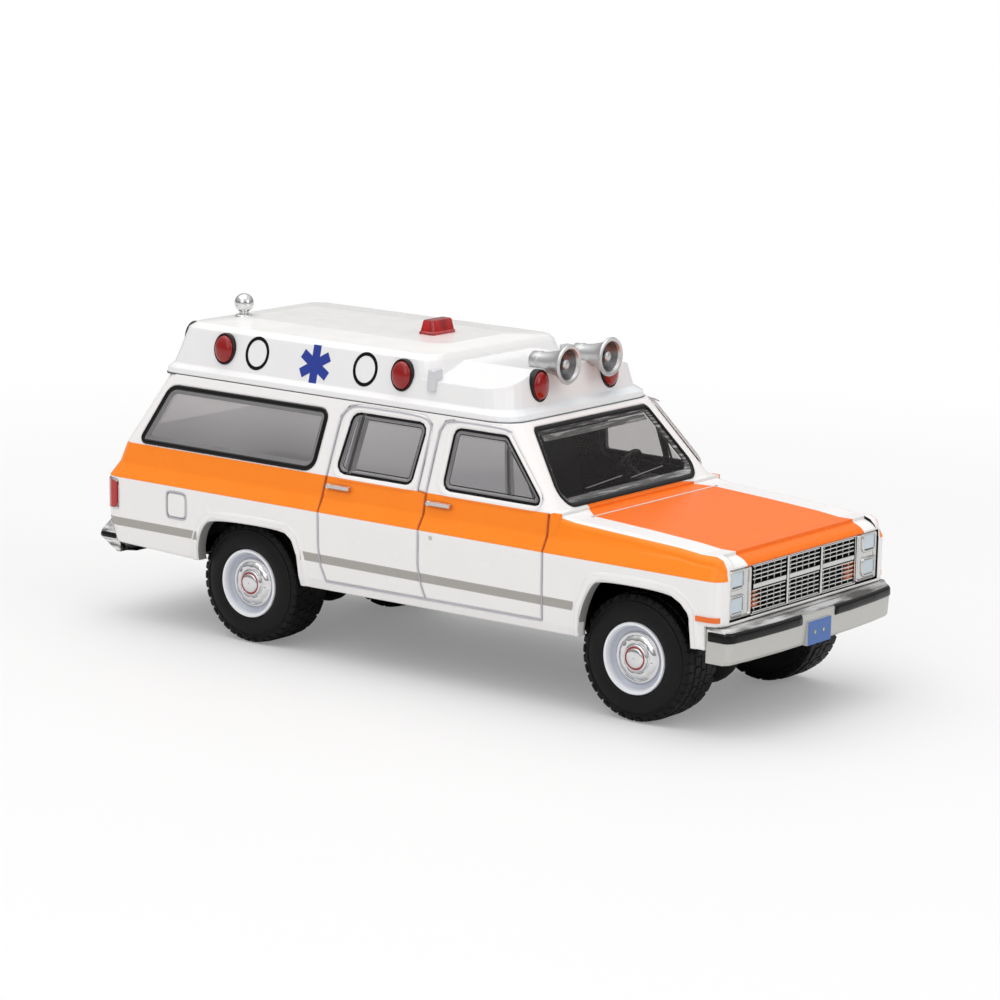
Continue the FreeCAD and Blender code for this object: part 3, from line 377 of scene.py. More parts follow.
def glass():
    """Clear moulding: smoky sides with painted reflection and shade, a clear screen, mirror-like at low angles.
    """
    m, vector, x, y, z = material("glazing_clear")
    geometry = m.add("NewGeometry")
    nx, ny, nz = m.split(geometry.outputs["True Normal"])
    screen = m.times(m.step(x, SCREEN_TOP_X - 3), m.math("GREATER_THAN", m.math("ABSOLUTE", nx), 0.35))
    outer = m.math("GREATER_THAN", m.times(ny, m.math("SIGN", y)), 0.3)
    tail = m.times(m.invert(m.step(x, TAIL_GLASS_X)), m.math("LESS_THAN", nx, -0.35))
    clear = m.add("BsdfTransparent", ((0, m.mix(screen, (0.68, 0.67, 0.67, 1), (0.95, 0.95, 0.94, 1))),))
    # Painted reflection and shade: lighter at the top rear corner and on the doors, darker across the middle and
    # top
    slope = m.math("ADD", m.math("SUBTRACT", z, GLASS_MIDDLE_Z * MM), m.times(x, -0.06))
    reflection_field = m.math("ADD", slope, m.times(m.math("SUBTRACT", m.noise(vector, 70, 0), 0.5), 4 * MM))
    tone = m.mix(m.step(reflection_field, 0.2, 3), lin(150, 147, 149), lin(205, 201, 202))
    tone = m.mix(m.invert(m.step(reflection_field, -1.9, 0.5)), tone, lin(140, 137, 139))
    tone = m.mix(m.times(m.step(x, DOOR_GLASS_X), 0.45), tone, lin(216, 214, 216))
    tone = m.mix(m.step(z, GLASS_TOP_Z, 0.7), tone, lin(112, 110, 112))
    m.finish(vector, tone, 0.07, 0.02, 300, 0)
    grazing = m.times(m.math("POWER", m.add("LayerWeight").outputs["Facing"], 4), 0.7)
    base = m.math("ADD", 0.6, m.times(screen, -0.585))
    share = m.times(m.plus(base, grazing), m.invert(geometry.outputs["Backfacing"]), m.plus(outer, screen, tail))
    return m.blend(share, clear, m.bsdf)


def bumper_metal():
    """Mirror-bright upper slope with painted reflection streaks over a satin lower face."""
    m, vector, x, y, z = material("bumper_silver")
    ahead = m.step(x, 0)
    edge = m.math("ADD", m.times(ahead, 1.3 * MM), (SILL_Z + 2.1) * MM)
    top = m.plus(m.step(m.math("SUBTRACT", z, edge), 0, 0.05), m.invert(ahead))
    # Painted reflection: dark and bright streaks across the mirror-bright top
    reflection_streaks = m.stretched(vector, (0.3, 0.14, 1.8), 1300, 3, 0.5, 0.12)
    bright = m.mix(reflection_streaks, lin(112, 110, 108), lin(228, 228, 228))
    rough = m.math("ADD", m.around(vector, 0.44, 0.04), m.times(top, -0.34))
    metal = m.math("ADD", 0.55, m.times(top, 0.45))
    return m.finish(vector, m.mix(top, lin(194, 193, 189), bright), rough, 0.03, 1500, 0.04, 0.15, metal)


def groove_shade():
    """Painted shade in the shut lines, grey on the white and brown across the orange band."""
    m, vector, x, y, z = material("groove_shade")
    vary = m.noise(vector, 500)
    grey = m.mix(vary, lin(170, 168, 176), lin(192, 190, 197))
    brown = m.mix(vary, lin(160, 62, 14), lin(190, 84, 24))
    return m.finish(vector, m.mix(m.band(z, BAND_LOW_Z, BAND_HIGH_Z), grey, brown), 0.5)


def banded_white():
    """White trim that takes the orange where the band crosses it."""
    m, vector, x, y, z = material("trim_white")
    tone = m.mix(m.noise(vector, 260, 2), WHITE, scaled(WHITE, 0.97))
    tone = m.mix(m.band(z, BAND_LOW_Z, BAND_HIGH_Z), tone, ORANGE)
    return m.finish(vector, tone, 0.26, coat=0.05, gloss=0.18)


def streaks():
    """Edge of the clear windscreen moulding, dark with painted bright reflection streaks."""
    m, vector, x, y, z = material("screen_streaks")
    # Painted reflection: bright streaks drawn out along the edge
    spots = m.stretched(vector, (0.5, 0.1, 2.5), 2400, 4, 0.6, 0.1)
    return m.finish(vector, m.mix(spots, lin(46, 46, 47), lin(168, 168, 170)), 0.15, coat=0.4)


def beacon_red():
    """Clear red housing with upright darker and lighter ribs."""
    m, vector, x, y, z = material("beacon_red")
    ribs = m.stretched(vector, (1, 1, 0.25), 900, 2, 0.5, 0.12)
    m.bsdf.inputs["Transmission Weight"].default_value = 0.25
    return m.finish(vector, m.mix(ribs, lin(142, 5, 11), lin(206, 20, 26)), 0.1, coat=0.4)


def plate_paint():
    """Blue face with pale edges."""
    m, vector, x, y, z = material("plate_blue")
    face = m.math("GREATER_THAN", m.split(m.add("NewGeometry").outputs["True Normal"])[0], 0.7)
    blue = m.mix(m.noise(vector, 300), lin(62, 104, 172), lin(56, 96, 162))
    return m.finish(vector, m.mix(face, lin(186, 186, 184), blue), 0.3)


def cap_paint():
    """White gloss of the roof cap, with painted light: lightest on its top, bluer at its nose."""
    m, vector, x, y, z = material("cap_white")
    # Painted light: the top is lighter and the nose bluer than the flanks of the same white
    white = m.mix(m.step(z, CAP_SHOULDER_Z, 0.5), lin(231, 231, 232), lin(247, 246, 243))
    white = m.mix(m.step(x, CAP_NOSE_X, 1), white, lin(226, 235, 240))
    tone = m.mix(m.noise(vector, 300, 4), white, scaled(WHITE, 0.97))
    return m.finish(vector, tone, 0.22, bevel=0.3, bump=0.02, coat=0.12)


def rim_paint_with_dish_shade():
    """Rim paint: white edge, with painted blue-grey shade in the dish."""
    m, vector, x, y, z = material("rim_white")
    depth = m.math("SUBTRACT", TYRE_OUTER_Y * MM, m.math("ABSOLUTE", y))
    # Painted shade: blue-grey deeper in the dish than at the white edge
    tone = m.mix(m.step(depth, 0.42, 0.25), lin(232, 233, 237), lin(184, 188, 200))
    return m.finish(vector, tone, 0.3, 0.04, bevel=0.06, coat=0.25)


MATS = {
    "paint": body_paint(),
    "cap": cap_paint(),
    "glass": glass(),
    "black": plain("black_plastic", lin(12, 12, 13), 0.3, 0.7, bevel=0.08, bump=0.08, gloss=0.35),
    "print": plain("black_print", lin(11, 10, 11), 0.26, 0.7, bump=0.03, gloss=0.22),
    "inside": plain("interior_black", lin(14, 14, 16), 0.5, 0.7, bevel=0.1, bump=0.15, gloss=0.3),
    "base": plain("base_black", lin(11, 11, 11), 0.5, 0.7, bevel=0.1, bump=0.15, gloss=0.3),
    "chrome": plated("chrome_plate", lin(222, 222, 223), 0.08, 0.08),
    "bumper": bumper_metal(),
    "silver": plated("grille_silver", lin(212, 212, 210), 0.17, 0.05),
    "horn": plated("horn_silver", lin(212, 212, 212), 0.4, 0.08),
    "red": lens("red_lens", lin(150, 14, 12)),
    "tail": lens("tail_red", lin(182, 22, 14), 0.2),
    "beacon": beacon_red(),
    "amber": lens("amber_lens", lin(246, 112, 14)),
    "lamp": fluted(),
    "plate": plate_paint(),
    "yellow": plain("plate_yellow", lin(206, 202, 50), 0.35, 0.9),
    "star": plain("emblem_blue", lin(36, 58, 150), 0.3, 0.85),
    "rim": rim_paint_with_dish_shade(),
    "redring": plain("hub_red", lin(160, 36, 36), 0.35, 0.85),
    "tyre": plain("tyre_rubber", lin(10, 10, 10), 0.5, 1.5, 700, 5, vary=0.08, grain=5200, bump=0.2,
                  bevel=0.05, gloss=0.2),
    "shade": plain("arch_shade", lin(140, 139, 137), 0.5, 0.85),
    "throat": plated("horn_mouth_shade", lin(120, 120, 122), 0.45),
    "steel": plated("axle_steel", lin(170, 170, 170), 0.3),
    "seal": plain("window_edge", lin(62, 61, 63), 0.22, 0.7, coat=0.3),
    "edge": plain("glass_edge", lin(124, 122, 124), 0.14, 0.5, coat=0.5),
    "bright": plated("bright_line", lin(216, 216, 216), 0.14),
    "line": groove_shade(),
    "white": banded_white(),
    "streak": streaks(),
    "marker": plain("marker_silver", lin(208, 208, 211), 0.25, 0.86, bevel=0.08, coat=0.4),
    "seam": plain("seam_pale", lin(222, 206, 198), 0.4, 0.93),
    "gasket": plain("cap_shadow_grey", lin(78, 78, 80), 0.45, 0.8),
}


def linked(name, data):
    """New object in the scene."""
    obj = bpy.data.objects.new(name, data)
    bpy.context.scene.collection.objects.link(obj)
    return obj


def new_object(name, verts, faces, mat, body="model", sharp=40, slot=None):
    """Mesh object in millimetres that rides on a body."""
    mesh = bpy.data.meshes.new(name)
    mesh.from_pydata([Vector(v) * MM for v in verts], [], faces)
    bm = bmesh.new()
    bm.from_mesh(mesh)
    bmesh.ops.remove_doubles(bm, verts=bm.verts, dist=1e-8)
    bmesh.ops.recalc_face_normals(bm, faces=bm.faces)
    bm.to_mesh(mesh)
    bm.free()
    for key in mat if isinstance(mat, list) else [mat]:
        mesh.materials.append(MATS[key])
    mesh.shade_smooth()
    mesh.set_sharp_from_angle(angle=math.radians(sharp))
    obj = linked(name, mesh)
    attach(obj, body)
    return obj


class Builder:
    """Collects faces, in millimetres."""

    def __init__(self):
        self.v = []
        self.f = []

    def box(self, lo, hi, turn=Matrix.Identity(4)):
        """Box between two corners, turned by a matrix."""
        flat = [(lo[0], lo[1]), (hi[0], lo[1]), (hi[0], hi[1]), (lo[0], hi[1])]
        self.tube([[turn @ Vector((x, y, z)) for x, y in flat] for z in (lo[2], hi[2])])

    def tube(self, rings, close=True, caps=True):
        """Skin between rings of points."""
        base = len(self.v)
        n = len(rings[0])
        for ring in rings:
            self.v += [Vector(p) for p in ring]
        for k in range(len(rings) - 1):
            a = base + k * n
            for i in range(n if close else n - 1):
                j = (i + 1) % n
                self.f.append([a + i, a + j, a + n + j, a + n + i])
        if caps:
            self.f.append([base + i for i in range(n)][::-1])
            self.f.append([base + (len(rings) - 1) * n + i for i in range(n)])

    def lathe(self, profile, segments, place, sx=1, sy=1, caps=False):
        """Skin of (radius, height) points turned about Z, put in place by a matrix."""
        turns = [2 * math.pi * i / segments for i in range(segments)]
        self.tube([[place @ Vector((r * math.cos(a) * sx, r * math.sin(a) * sy, h)) for a in turns]
                   for r, h in profile], caps=caps)

    def make(self, name, mat, **more):
        return new_object(name, [tuple(v) for v in self.v], self.f, mat, **more)


def frame_at(x, y, z, out):
    """Matrix whose Z axis points along out and whose Y axis points up."""
    z_axis = Vector(out).normalized()
    up = Vector((0, 0, 1)) if abs(z_axis.z) < 0.9 else Vector((1, 0, 0))
    x_axis = up.cross(z_axis).normalized()
    m = Matrix((x_axis, z_axis.cross(x_axis), z_axis)).transposed().to_4x4()
    m.translation = Vector((x, y, z))
    return m


def node_box(node):
    """Low corner, high corner and middle of a CAD piece in millimetres."""
    lo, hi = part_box(node)
    return lo / MM, hi / MM, (lo + hi) / 2 / MM


def paint_nodes():
    """Give every piece that stays as built its material."""
    groups = {
        "paint": "body_shell", "cap": "roof_cap", "glass": "window_insert", "inside": "interior_tub dashboard",
        "base": "chassis_base", "bumper": "front_bumper rear_bumper", "amber": "side_markers turn_lamps",
        "tail": "tail_lamp_right tail_lamp_left", "lamp": "headlamp_right headlamp_left",
        "steel": "front_axle rear_axle", "plate": "front_plate",
    }
    for key, names in groups.items():
        for name in names.split():
            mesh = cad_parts[name].data
            mesh.materials.clear()
            mesh.materials.append(MATS[key])


def tread_blocks(b, place):
    """Rows of small skewed blocks round the tread, and lugs over both shoulders."""
    count = 38
    turns = [place @ Matrix.Rotation(math.pi * i / count, 4, "Z") for i in range(2 * count + 1)]
    # Inner and outer edge, share of a turn to shift, depth and drop of each row
    rows = [(0.5, 1.36, 0, 0.5, 0.1), (1.5, 2.42, 1, 0.3, 0), (2.52, 3.38, 0, 0.3, 0),
            (3.48, 4.4, 1, 0.3, 0), (4.54, 5.4, 0, 0.5, 0.1)]
    for k, (h0, h1, shift, depth, drop) in enumerate(rows):
        top = TYRE_RADIUS - 0.012 - drop
        for i in range(count):
            turn = turns[2 * i + shift]
            half = 0.42 if i % 2 else 0.48
            skew = 0.14 if (i + k) % 2 else -0.14
            quad = [(h0, -half), (h1, skew - half), (h1, half + skew), (h0, half)]
            low = [turn @ Vector((TYRE_RADIUS - depth, y * 1.06, h)) for h, y in quad]
            high = []
            for h, y in quad:
                pulled = h + (0.05 if h == h0 else -0.05)
                high.append(turn @ Vector((top * math.cos(y * 0.92 / top), y * 0.92, pulled)))
            b.tube([low, high])
    for i in range(count):
        inner, outer = TYRE_RADIUS - (0.74 if i % 2 else 0.52), TYRE_RADIUS - 0.17
        for mirror in (False, True):
            rings = []
            for sink, half in ((0.3, 0.33), (0, 0.29)):
                spots = [(inner, -half, 0.27), (outer, -half, 0.44), (outer, half, 0.44), (inner, half, 0.27)]
                rings.append([turns[2 * i] @ Vector((r, y, TYRE_WIDTH - h - sink if mirror else h + sink))
                              for r, y, h in spots])
            b.tube(rings)


def tyre_mesh(name, place, body):
    """Smooth sidewall with a thin ridge, and a tread of small blocks."""
    wall = [(-0.02, 0.55), (0.04, 0.22), (0.25, 0.04), (0.6, 0), (1.2, 0.02), (1.7, 0.12)]
    shoulder = [(0.95, 0.26), (0.9, 0.18), (0.82, 0.18), (0.77, 0.3), (0.5, 0.4), (0.31, 0.55), (0.2, 0.8),
                (0.15, 1.2), (0.12, 1.8), (0.11, TYRE_WIDTH / 2)]
    profile = [(RIM_RADIUS + r, d) for r, d in wall] + [(TYRE_RADIUS - r, d) for r, d in shoulder]
    profile += [(r, TYRE_WIDTH - d) for r, d in profile[-2::-1]]
    b = Builder()
    b.lathe(profile, 96, place)
    tread_blocks(b, place)
    return b.make(name, "tyre", body=body, sharp=35, slot="tyre")


def rim_mesh(name, place, body):
    """Rim with a rolled edge round a shallow dish."""
    bore, back = 0.58 - RIM_RADIUS, TYRE_WIDTH - 0.3
    dish = [(-0.5, 3.2), (-0.1, 2.6), (0.02, 0.6), (0.02, 0.15), (-0.04, 0.03), (-0.16, 0), (-0.3, 0.05),
            (-0.38, 0.22), (-0.52, 0.6), (-0.68, 0.84), (-0.9, 0.95), (-1.3, 1), (-2.2, 1), (bore, 1)]
    behind = [(-0.5, 3.2), (-0.62, 3.25), (-0.62, back - 0.05), (-0.05, back + 0.1), (0.02, back), (0.02, 3)]
    disc = [(bore, 1), (bore, 2), (-0.5, 2.2), (-0.5, 3.2)]
    b = Builder()
    for shape in (dish, behind, disc):
        b.lathe([(RIM_RADIUS + r, h) for r, h in shape], 72, place)
    return b.make(name, "rim", body=body, sharp=40, slot="rim_white")


def hub_mesh(name, place, body):
    """Stepped bright cap with a softly lobed ring and a red ring."""
    r = RIM_RADIUS * 0.72
    shares = [(1, 1), (1, 0.84), (0.98, 0.78), (0.94, 0.75), (0.9, 0.77), (0.87, 0.8), (0.83, 0.7),
              (0.78, 0.6), (0.72, 0.53), (0.66, 0.5), (0.61, 0.52), (0.57, 0.56), (0.545, 0.5), (0.53, 0.36),
              (0.5, 0.28), (0.46, 0.26), (0.455, 0.3), (0.385, 0.3), (0.38, 0.24), (0.35, 0.19), (0.28, 0.15),
              (0.16, 0.11), (0.02, 0.1)]
    rings = []
    for share, depth in shares:
        ring = []
        for i in range(96):
            a = 2 * math.pi * i / 96
            lobe = 0.06 * max(0, math.cos(8 * a)) if 0.62 < share < 0.86 else 0
            ring.append(place @ Vector((share * r * math.cos(a), share * r * math.sin(a), depth + lobe)))
        rings.append(ring)
    b = Builder()
    b.tube(rings, caps=False)
    obj = b.make(name, ["chrome", "redring"], body=body, sharp=50, slot="chrome")
    for face in obj.data.polygons:
        away = face.center / MM - place.translation
        if 0.386 * r < math.hypot(away.x, away.z) < 0.454 * r:
            face.material_index = 1
    return obj


def wheels():
    for end, x in (("front", FRONT_AXLE_X), ("rear", REAR_AXLE_X)):
        body = end + "_wheels"
        for word, side in SIDES:
            tag = "_" + word
            place = frame_at(x, side * TYRE_OUTER_Y, TYRE_RADIUS, (0, -side, 0))
            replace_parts(tyre_mesh(end + "_tread" + tag, place, body), end + "_tyre" + tag)
            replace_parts(rim_mesh(end + "_dish" + tag, place, body), end + "_rim" + tag)
            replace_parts(hub_mesh(end + "_hub_plate" + tag, place, body), end + "_hub_cap" + tag)


def rounded(corners, radii, steps=6, shrink=0):
    """Rounded outline, moved in by shrink, of (a, b) corners."""
    n = len(corners)
    pts = [Vector(c) for c in corners]
    turn = 1 if sum(pts[i - 1].cross(pts[i]) for i in range(n)) > 0 else -1
    moved = []
    for i in range(n):
        d0 = (pts[i] - pts[i - 1]).normalized()
        d1 = (pts[(i + 1) % n] - pts[i]).normalized()
        n0 = Vector((-d0.y, d0.x)) * turn
        n1 = Vector((-d1.y, d1.x)) * turn
        moved.append(pts[i] + (n0 + n1) / (1 + n0.dot(n1)) * shrink)
    ring = []
    for i in range(n):
        p = moved[i]
        u = (moved[i - 1] - p).normalized()
        v = (moved[(i + 1) % n] - p).normalized()
        half = u.angle(v) / 2
        r = max(radii[i] - shrink, 0.15)
        centre = p + (u + v).normalized() * (r / math.sin(half))
        a = p + u * (r / math.tan(half)) - centre
        b = p + v * (r / math.tan(half)) - centre
        phi = a.angle(b)
        for k in range(steps + 1):
            t = k / steps
            ring.append(centre + (a * math.sin((1 - t) * phi) + b * math.sin(t * phi)) / math.sin(phi))
    return ring


def side_place(side):
    """Places a point of the side view, rise mm above the body side."""
    return lambda p, rise: (p.x, side * (side_half(p.y) + rise), p.y)


def screen_place(p, rise):
    """Places a point (y, z) rise mm above the leaning windscreen plane."""
    x = COWL_X + (SCREEN_TOP_X - COWL_X) * (p.y - BELT_Z) / (GUTTER_Z - BELT_Z)
    return (x + rise, p.x, p.y)


def bands(outlines, place, pieces, tag=""):
    """Rings round openings: name, material and (shrink, rise) stops, from outside to inside, of each piece."""
    for name, mat, stops in pieces:
        b = Builder()
        for corners, radii in outlines:
            b.tube([[place(p, rise) for p in rounded(corners, radii, shrink=s)] for s, rise in stops],
                   caps=False)
        b.make(name + tag, mat, sharp=50)


def side_outline(window):
    pairs, radii = window
    return [(station_x(s), level_z(v)) for s, v in pairs], radii


def window_trims(tag, side):
    """Seal, bright line and edge of the quarter glass; line, edge and rim set back into the door windows."""
    place = side_place(side)
    bands([side_outline(QUARTER_WINDOW)], place, (
        ("quarter_seal", "print", [(0, -0.5), (0, 0.04), (0.08, 0.12), (0.28, 0.17), (0.46, 0.12), (0.54, 0),
                                   (0.54, -0.5)]),
        ("quarter_line", "bright", [(0.53, -0.5), (0.53, 0.02), (0.63, 0.02), (0.63, -0.5)]),
        ("quarter_edge", "edge", [(0.63, -0.5), (0.63, 0), (0.98, -0.2), (0.98, -0.6)])), tag)
    bands([side_outline(REAR_DOOR_WINDOW), side_outline(FRONT_DOOR_WINDOW)], place, (
        ("door_glass_line", "print", [(-0.02, -0.6), (-0.02, -0.08), (0.3, -0.12), (0.3, -0.6)]),
        ("door_glass_edge", "edge", [(0.3, -0.6), (0.3, -0.06), (0.38, -0.06), (0.62, -0.26), (0.62, -0.7)]),
        ("door_glass_rim", "seal", [(0.61, -0.7), (0.61, -0.2), (0.72, -0.2), (0.72, -0.7)])), tag)


def leaning_bar(b, side, low, high, wide, rise):
    """Crowned bar standing off the glass between two (x, z) points."""
    rings = []
    for k in range(9):
        x, z = Vector(low).lerp(Vector(high), k / 8)
        spot = side_hit(["window_insert"], x, z, side)
        y = abs(spot.y) if spot else side_half(z) - 0.3
        ring = ((-0.5, -0.2), (-0.5, 0.5), (-0.25, 1), (0.25, 1), (0.5, 0.5), (0.5, -0.2))
        rings.append([(x + share * wide, side * (y + up * rise), z) for share, up in ring])
    b.tube(rings)


def glass_bars(tag, side):
    """Sliding-pane bars of the rear door and vent bars of the front door."""
    z0, z1 = level_z(105.5), level_z(186)
    # Foot x, lift of the foot, head x, lift of the head, width and rise of each bar
    for name, mat, bars in (
            ("door_glass_bars", "seal", [(-7.22, 0, -6.18, 0, 0.42, 0.14), (14.2, 0, 12.9, 0, 0.44, 0.14),
                                         (17.3, 0.5, 13.9, -1.2, 0.16, 0.06)]),
            ("door_glass_bevels", "edge", [(-7.62, 0, -6.58, 0, 0.4, 0.06), (-6.65, 0, -5.61, 0, 0.42, 0.05),
                                           (13.82, 0, 12.5, 0, 0.26, 0.06), (14.78, 0, 13.3, -0.6, 0.3, 0.05)]),
            ("door_glass_glints", "bright", [(-6.94, 0, -5.9, 0, 0.1, 0.12), (14.48, 0, 13.18, 0, 0.09, 0.1)])):
        b = Builder()
        for x0, up0, x1, up1, wide, rise in bars:
            leaning_bar(b, side, (x0, z0 + up0), (x1, z1 + up1), wide, rise)
        b.make(name + tag, mat, sharp=50)


def pane_outline(foot, head, z0, z1):
    """Rounded outline of an end window from its half widths and heights."""
    return [([(-foot, z0), (foot, z0), (head, z1), (-head, z1)], [1.6, 1.6, 0.8, 0.8])]


def screen_trim():
    """Windscreen seal, glass edge, a band of painted reflection along its top and the wipers."""
    z0, z1 = level_z(100.5), level_z(194)
    half = GUTTER_HALF - 2.85
    bands(pane_outline(BELT_HALF - 1.95, half, z0, z1), screen_place, (
        ("screen_seal", "print", [(-0.02, -0.6), (-0.02, 0.02), (0.06, 0.12), (0.2, 0.15), (0.34, 0.1),
                                  (0.4, -0.04), (0.4, -0.6)]),
        ("screen_edge", "streak", [(0.4, -0.7), (0.4, -0.08), (0.5, -0.1), (0.82, -0.26), (0.82, -0.5)])))
    # Painted reflection of the roof's front edge: a streaked band inside the top of the glass
    band = Builder()
    rows = [(z1 - 0.92, -0.34), (z1 - 1, -0.3), (z1 - 1.45, -0.3), (z1 - 1.52, -0.36)]
    band.tube([[screen_place(Vector((y, z)), rise) for z, rise in rows] for y in (0.95 - half, half - 0.95)])
    band.make("screen_top_reflection", "streak", sharp=30)
    wipers = Builder()
    for y0, reach in ((-3.6, 6.8), (4.2, 6.2)):
        rings = []
        for share in (0, 0.5, 1):
            y, z = y0 + reach * (share - 0.5), z0 + 1.25 + 0.35 * share
            quad = [(0, 0), (0.07, 0), (0.07, 0.07), (0, 0.07)]
            rings.append([screen_place(Vector((y, z + dz)), dx - 0.28) for dx, dz in quad])
        wipers.tube(rings)
    wipers.make("screen_wipers", "edge", sharp=30)


def tail_trim():
    """Black seal and grey glass edge of the tail window."""
    foot, lean = 3.6, 4.9

    def place(p, rise):
        x = REAR_END_X + foot + lean * (p.y - BELT_Z) / (GUTTER_Z - BELT_Z)
        return (x - rise, p.x, p.y)

    bands(pane_outline(BELT_HALF - 3.2, GUTTER_HALF - 2.9, level_z(110), level_z(184)), place, (
        ("tail_window_seal", "print", [(-0.1, -0.1), (-0.08, 0.06), (0.05, 0.12), (0.2, 0.12), (0.3, 0.02),
                                       (0.3, -0.5)]),
        ("tail_window_edge", "edge", [(0.3, -0.5), (0.3, -0.05), (0.36, -0.06), (0.6, -0.2), (0.6, -0.6)])))


def oval_lamp(tag, node, out, tilt):
    """Oval black bezel with a red dome."""
    lo, hi, mid = node_box(node)
    flat = Vector((out[0], out[1], 0)).normalized()
    face = mid - flat * (hi - lo).dot(Vector((abs(flat.x), abs(flat.y), 0))) / 2
    place = frame_at(*face, (flat.x, flat.y, tilt))
    ring = [(1, -0.3), (1, 0.26), (0.985, 0.38), (0.96, 0.45), (0.92, 0.46), (0.885, 0.4), (0.87, 0.3),
            (0.86, 0.1)]
    bezel, red = Builder(), Builder()
    bezel.lathe(ring, 44, place, LAMP_WIDTH / 2, LAMP_HEIGHT / 2)
    bezel.make("lamp_bezel_" + tag, "black", sharp=45, slot="black_trim")
    dome = [(0.87, 0.1), (0.86, 0.34), (0.83, 0.52), (0.74, 0.67), (0.61, 0.78), (0.45, 0.86), (0.27, 0.9),
            (0.1, 0.92), (0.02, 0.92)]
    red.lathe(dome, 44, place, LAMP_WIDTH / 2, LAMP_HEIGHT / 2, caps=True)
    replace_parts(red.make("lamp_dome_" + tag, "red", sharp=60, slot="red_lens"), node)


def roof_lamps():
    for end, ahead in (("rear", -1), ("front", 1)):
        for word, side in SIDES:
            tag = end + "_" + word
            oval_lamp("side_" + tag, "side_lamp_" + tag, (0, side), 0.1)
            oval_lamp("roof_" + tag, "roof_lamp_" + tag, (ahead, 0), 0.05)
    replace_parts(bpy.data.objects["lamp_bezel_side_rear_right"], "lamp_bezels")


def cap_side_half(z):
    """Half width of the roof cap's leaning side at a height."""
    foot, lean = 1.2, 0.9
    return CAP_SIDE_Y - lean * (z - (GUTTER_Z + foot)) / (0.85 * CAP_HEIGHT - foot)


def marker_mesh():
    """Rounded bright clearance lamp on each flank of the cap."""
    lo, hi, mid = node_box("roof_markers")
    b = Builder()
    for side in (-1, 1):
        rings = []
        for shrink, out in ((0, 11.2), (0, 12.3), (0.05, 12.44), (0.13, 12.52), (0.24, hi.y)):
            x0, x1, z0, z1 = lo.x + shrink, hi.x - shrink, lo.z + shrink * 0.6, hi.z - shrink
            corners = [(x0, z0), (x1, z0), (x1 - 0.12, z1), (x0 + 0.08, z1)]
            points = rounded(corners, [0.1, 0.1, 0.16, 0.16], 4)
            rings.append([(p.x, side * (out - 0.06 * (p.y - z0)), p.y) for p in points])
        b.tube(rings)
    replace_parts(b.make("cap_clearance_lamps", "marker", sharp=50, slot="chrome"), "roof_markers")


def cap_prints():
    """Printed black rings and a plain blue star of three bars on the cap's flanks."""
    turns = [2 * math.pi * i / 56 for i in range(56)]
    wide, tall = RING_HALF
    stops = ((1, -0.12), (1, 0.03), (0.79, 0.03), (0.79, -0.12))
    for word, side in SIDES:
        def at(x, z, rise, side=side):
            return (x, side * (cap_side_half(z) + rise), z)

        for tag, x in RING_STATIONS:
            b = Builder()
            b.tube([[at(x + wide * share * math.cos(a), RING_Z + tall * share * math.sin(a), rise)
                     for a in turns] for share, rise in stops], caps=False)
            b.make("cap_ring_" + tag + "_" + word, "print", sharp=50)
        star = Builder()
        for k in range(3):
            turn = Matrix.Rotation(math.radians(90 + 60 * k), 2)
            bar = [turn @ Vector(c) + Vector(STAR_CENTRE)
                   for c in ((-2.1, -0.52), (2.1, -0.52), (2.1, 0.52), (-2.1, 0.52))]
            star.tube([[at(p.x, p.y, rise) for p in bar] for rise in (-0.15, 0.03 + 0.004 * k)])
        star.make("cap_star_" + word, "star", sharp=50)


def horn_mesh(name, node):
    """Trumpet horn with a rolled rim, a round button in its mouth and a darker lining of painted shade deep in
    it.
    """
    lo, hi, mid = node_box(node)
    length = hi.x - lo.x
    place = frame_at(lo.x, mid.y, mid.z, (1, 0, 0))
    t, r = 1.02, min(2.15, (hi.y - lo.y) / 2)
    back = [(0.05, 0), (0.6, 0.02), (0.82, 0.12), (t, 0.35), (t, 1.1), (t + 0.06, 1.14), (t + 0.06, 1.3),
            (t, 1.34)]
    # The other parts are measured back from the rim
    bell = [(t, -3.4), (t * 1.1, -2.6), (t * 1.25, -1.9), (t * 1.44, -1.2), (t * 1.72, -0.66), (r - 0.14, -0.38),
            (r - 0.02, -0.28), (r, -0.14), (r - 0.08, 0)]
    mouth = [(r * 0.84, -0.01), (r * 0.78, -0.1), (r * 0.76, -0.4), (r * 0.62, -0.8), (r * 0.5, -1.2),
             (r * 0.4, -1.6), (0.05, -1.7)]
    button = [(0.5, -1.7), (0.5, -0.8), (0.56, -0.74), (0.58, -0.55), (0.5, -0.42), (0.35, -0.35), (0.18, -0.32),
              (0.02, -0.31)]
    inside = [(r * 0.75, -0.35), (r * 0.61, -0.75), (r * 0.49, -1.12), (0.66, -1.19), (0.6, -1.27)]
    b, throat = Builder(), Builder()
    b.lathe(back + [(br, length + d) for br, d in bell + mouth], 56, place)
    b.lathe([(br, length + d) for br, d in button], 36, place)
    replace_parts(b.make(name, "horn", sharp=50, slot="chrome"), node)
    # Painted shade: a darker grey lining laid just inside the deep part of the mouth
    throat.lathe([(br, length + d) for br, d in inside], 48, place)
    throat.make(name.replace("bell", "throat"), "throat", sharp=50)


def ball_mesh():
    """Bright ball on a short foot."""
    lo, hi, mid = node_box("ball_lamp")
    height = hi.z - lo.z
    r, foot, start = 1.08, height - 2.45, -1.05
    profile = [(0.98, 0), (0.98, foot), (0.88, foot + 0.1), (0.62, foot + 0.16), (0.5, foot + 0.3),
               (0.54, foot + 0.42)]
    for i in range(12):
        a = start + (math.pi / 2 - start) * i / 11
        profile.append((max(r * math.cos(a), 0.02), height - r + r * math.sin(a)))
    b = Builder()
    b.lathe(profile, 40, frame_at(mid.x, mid.y, lo.z, (0, 0, 1)), caps=True)
    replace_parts(b.make("ball_lamp_round", "chrome", sharp=50, slot="chrome"), "ball_lamp")


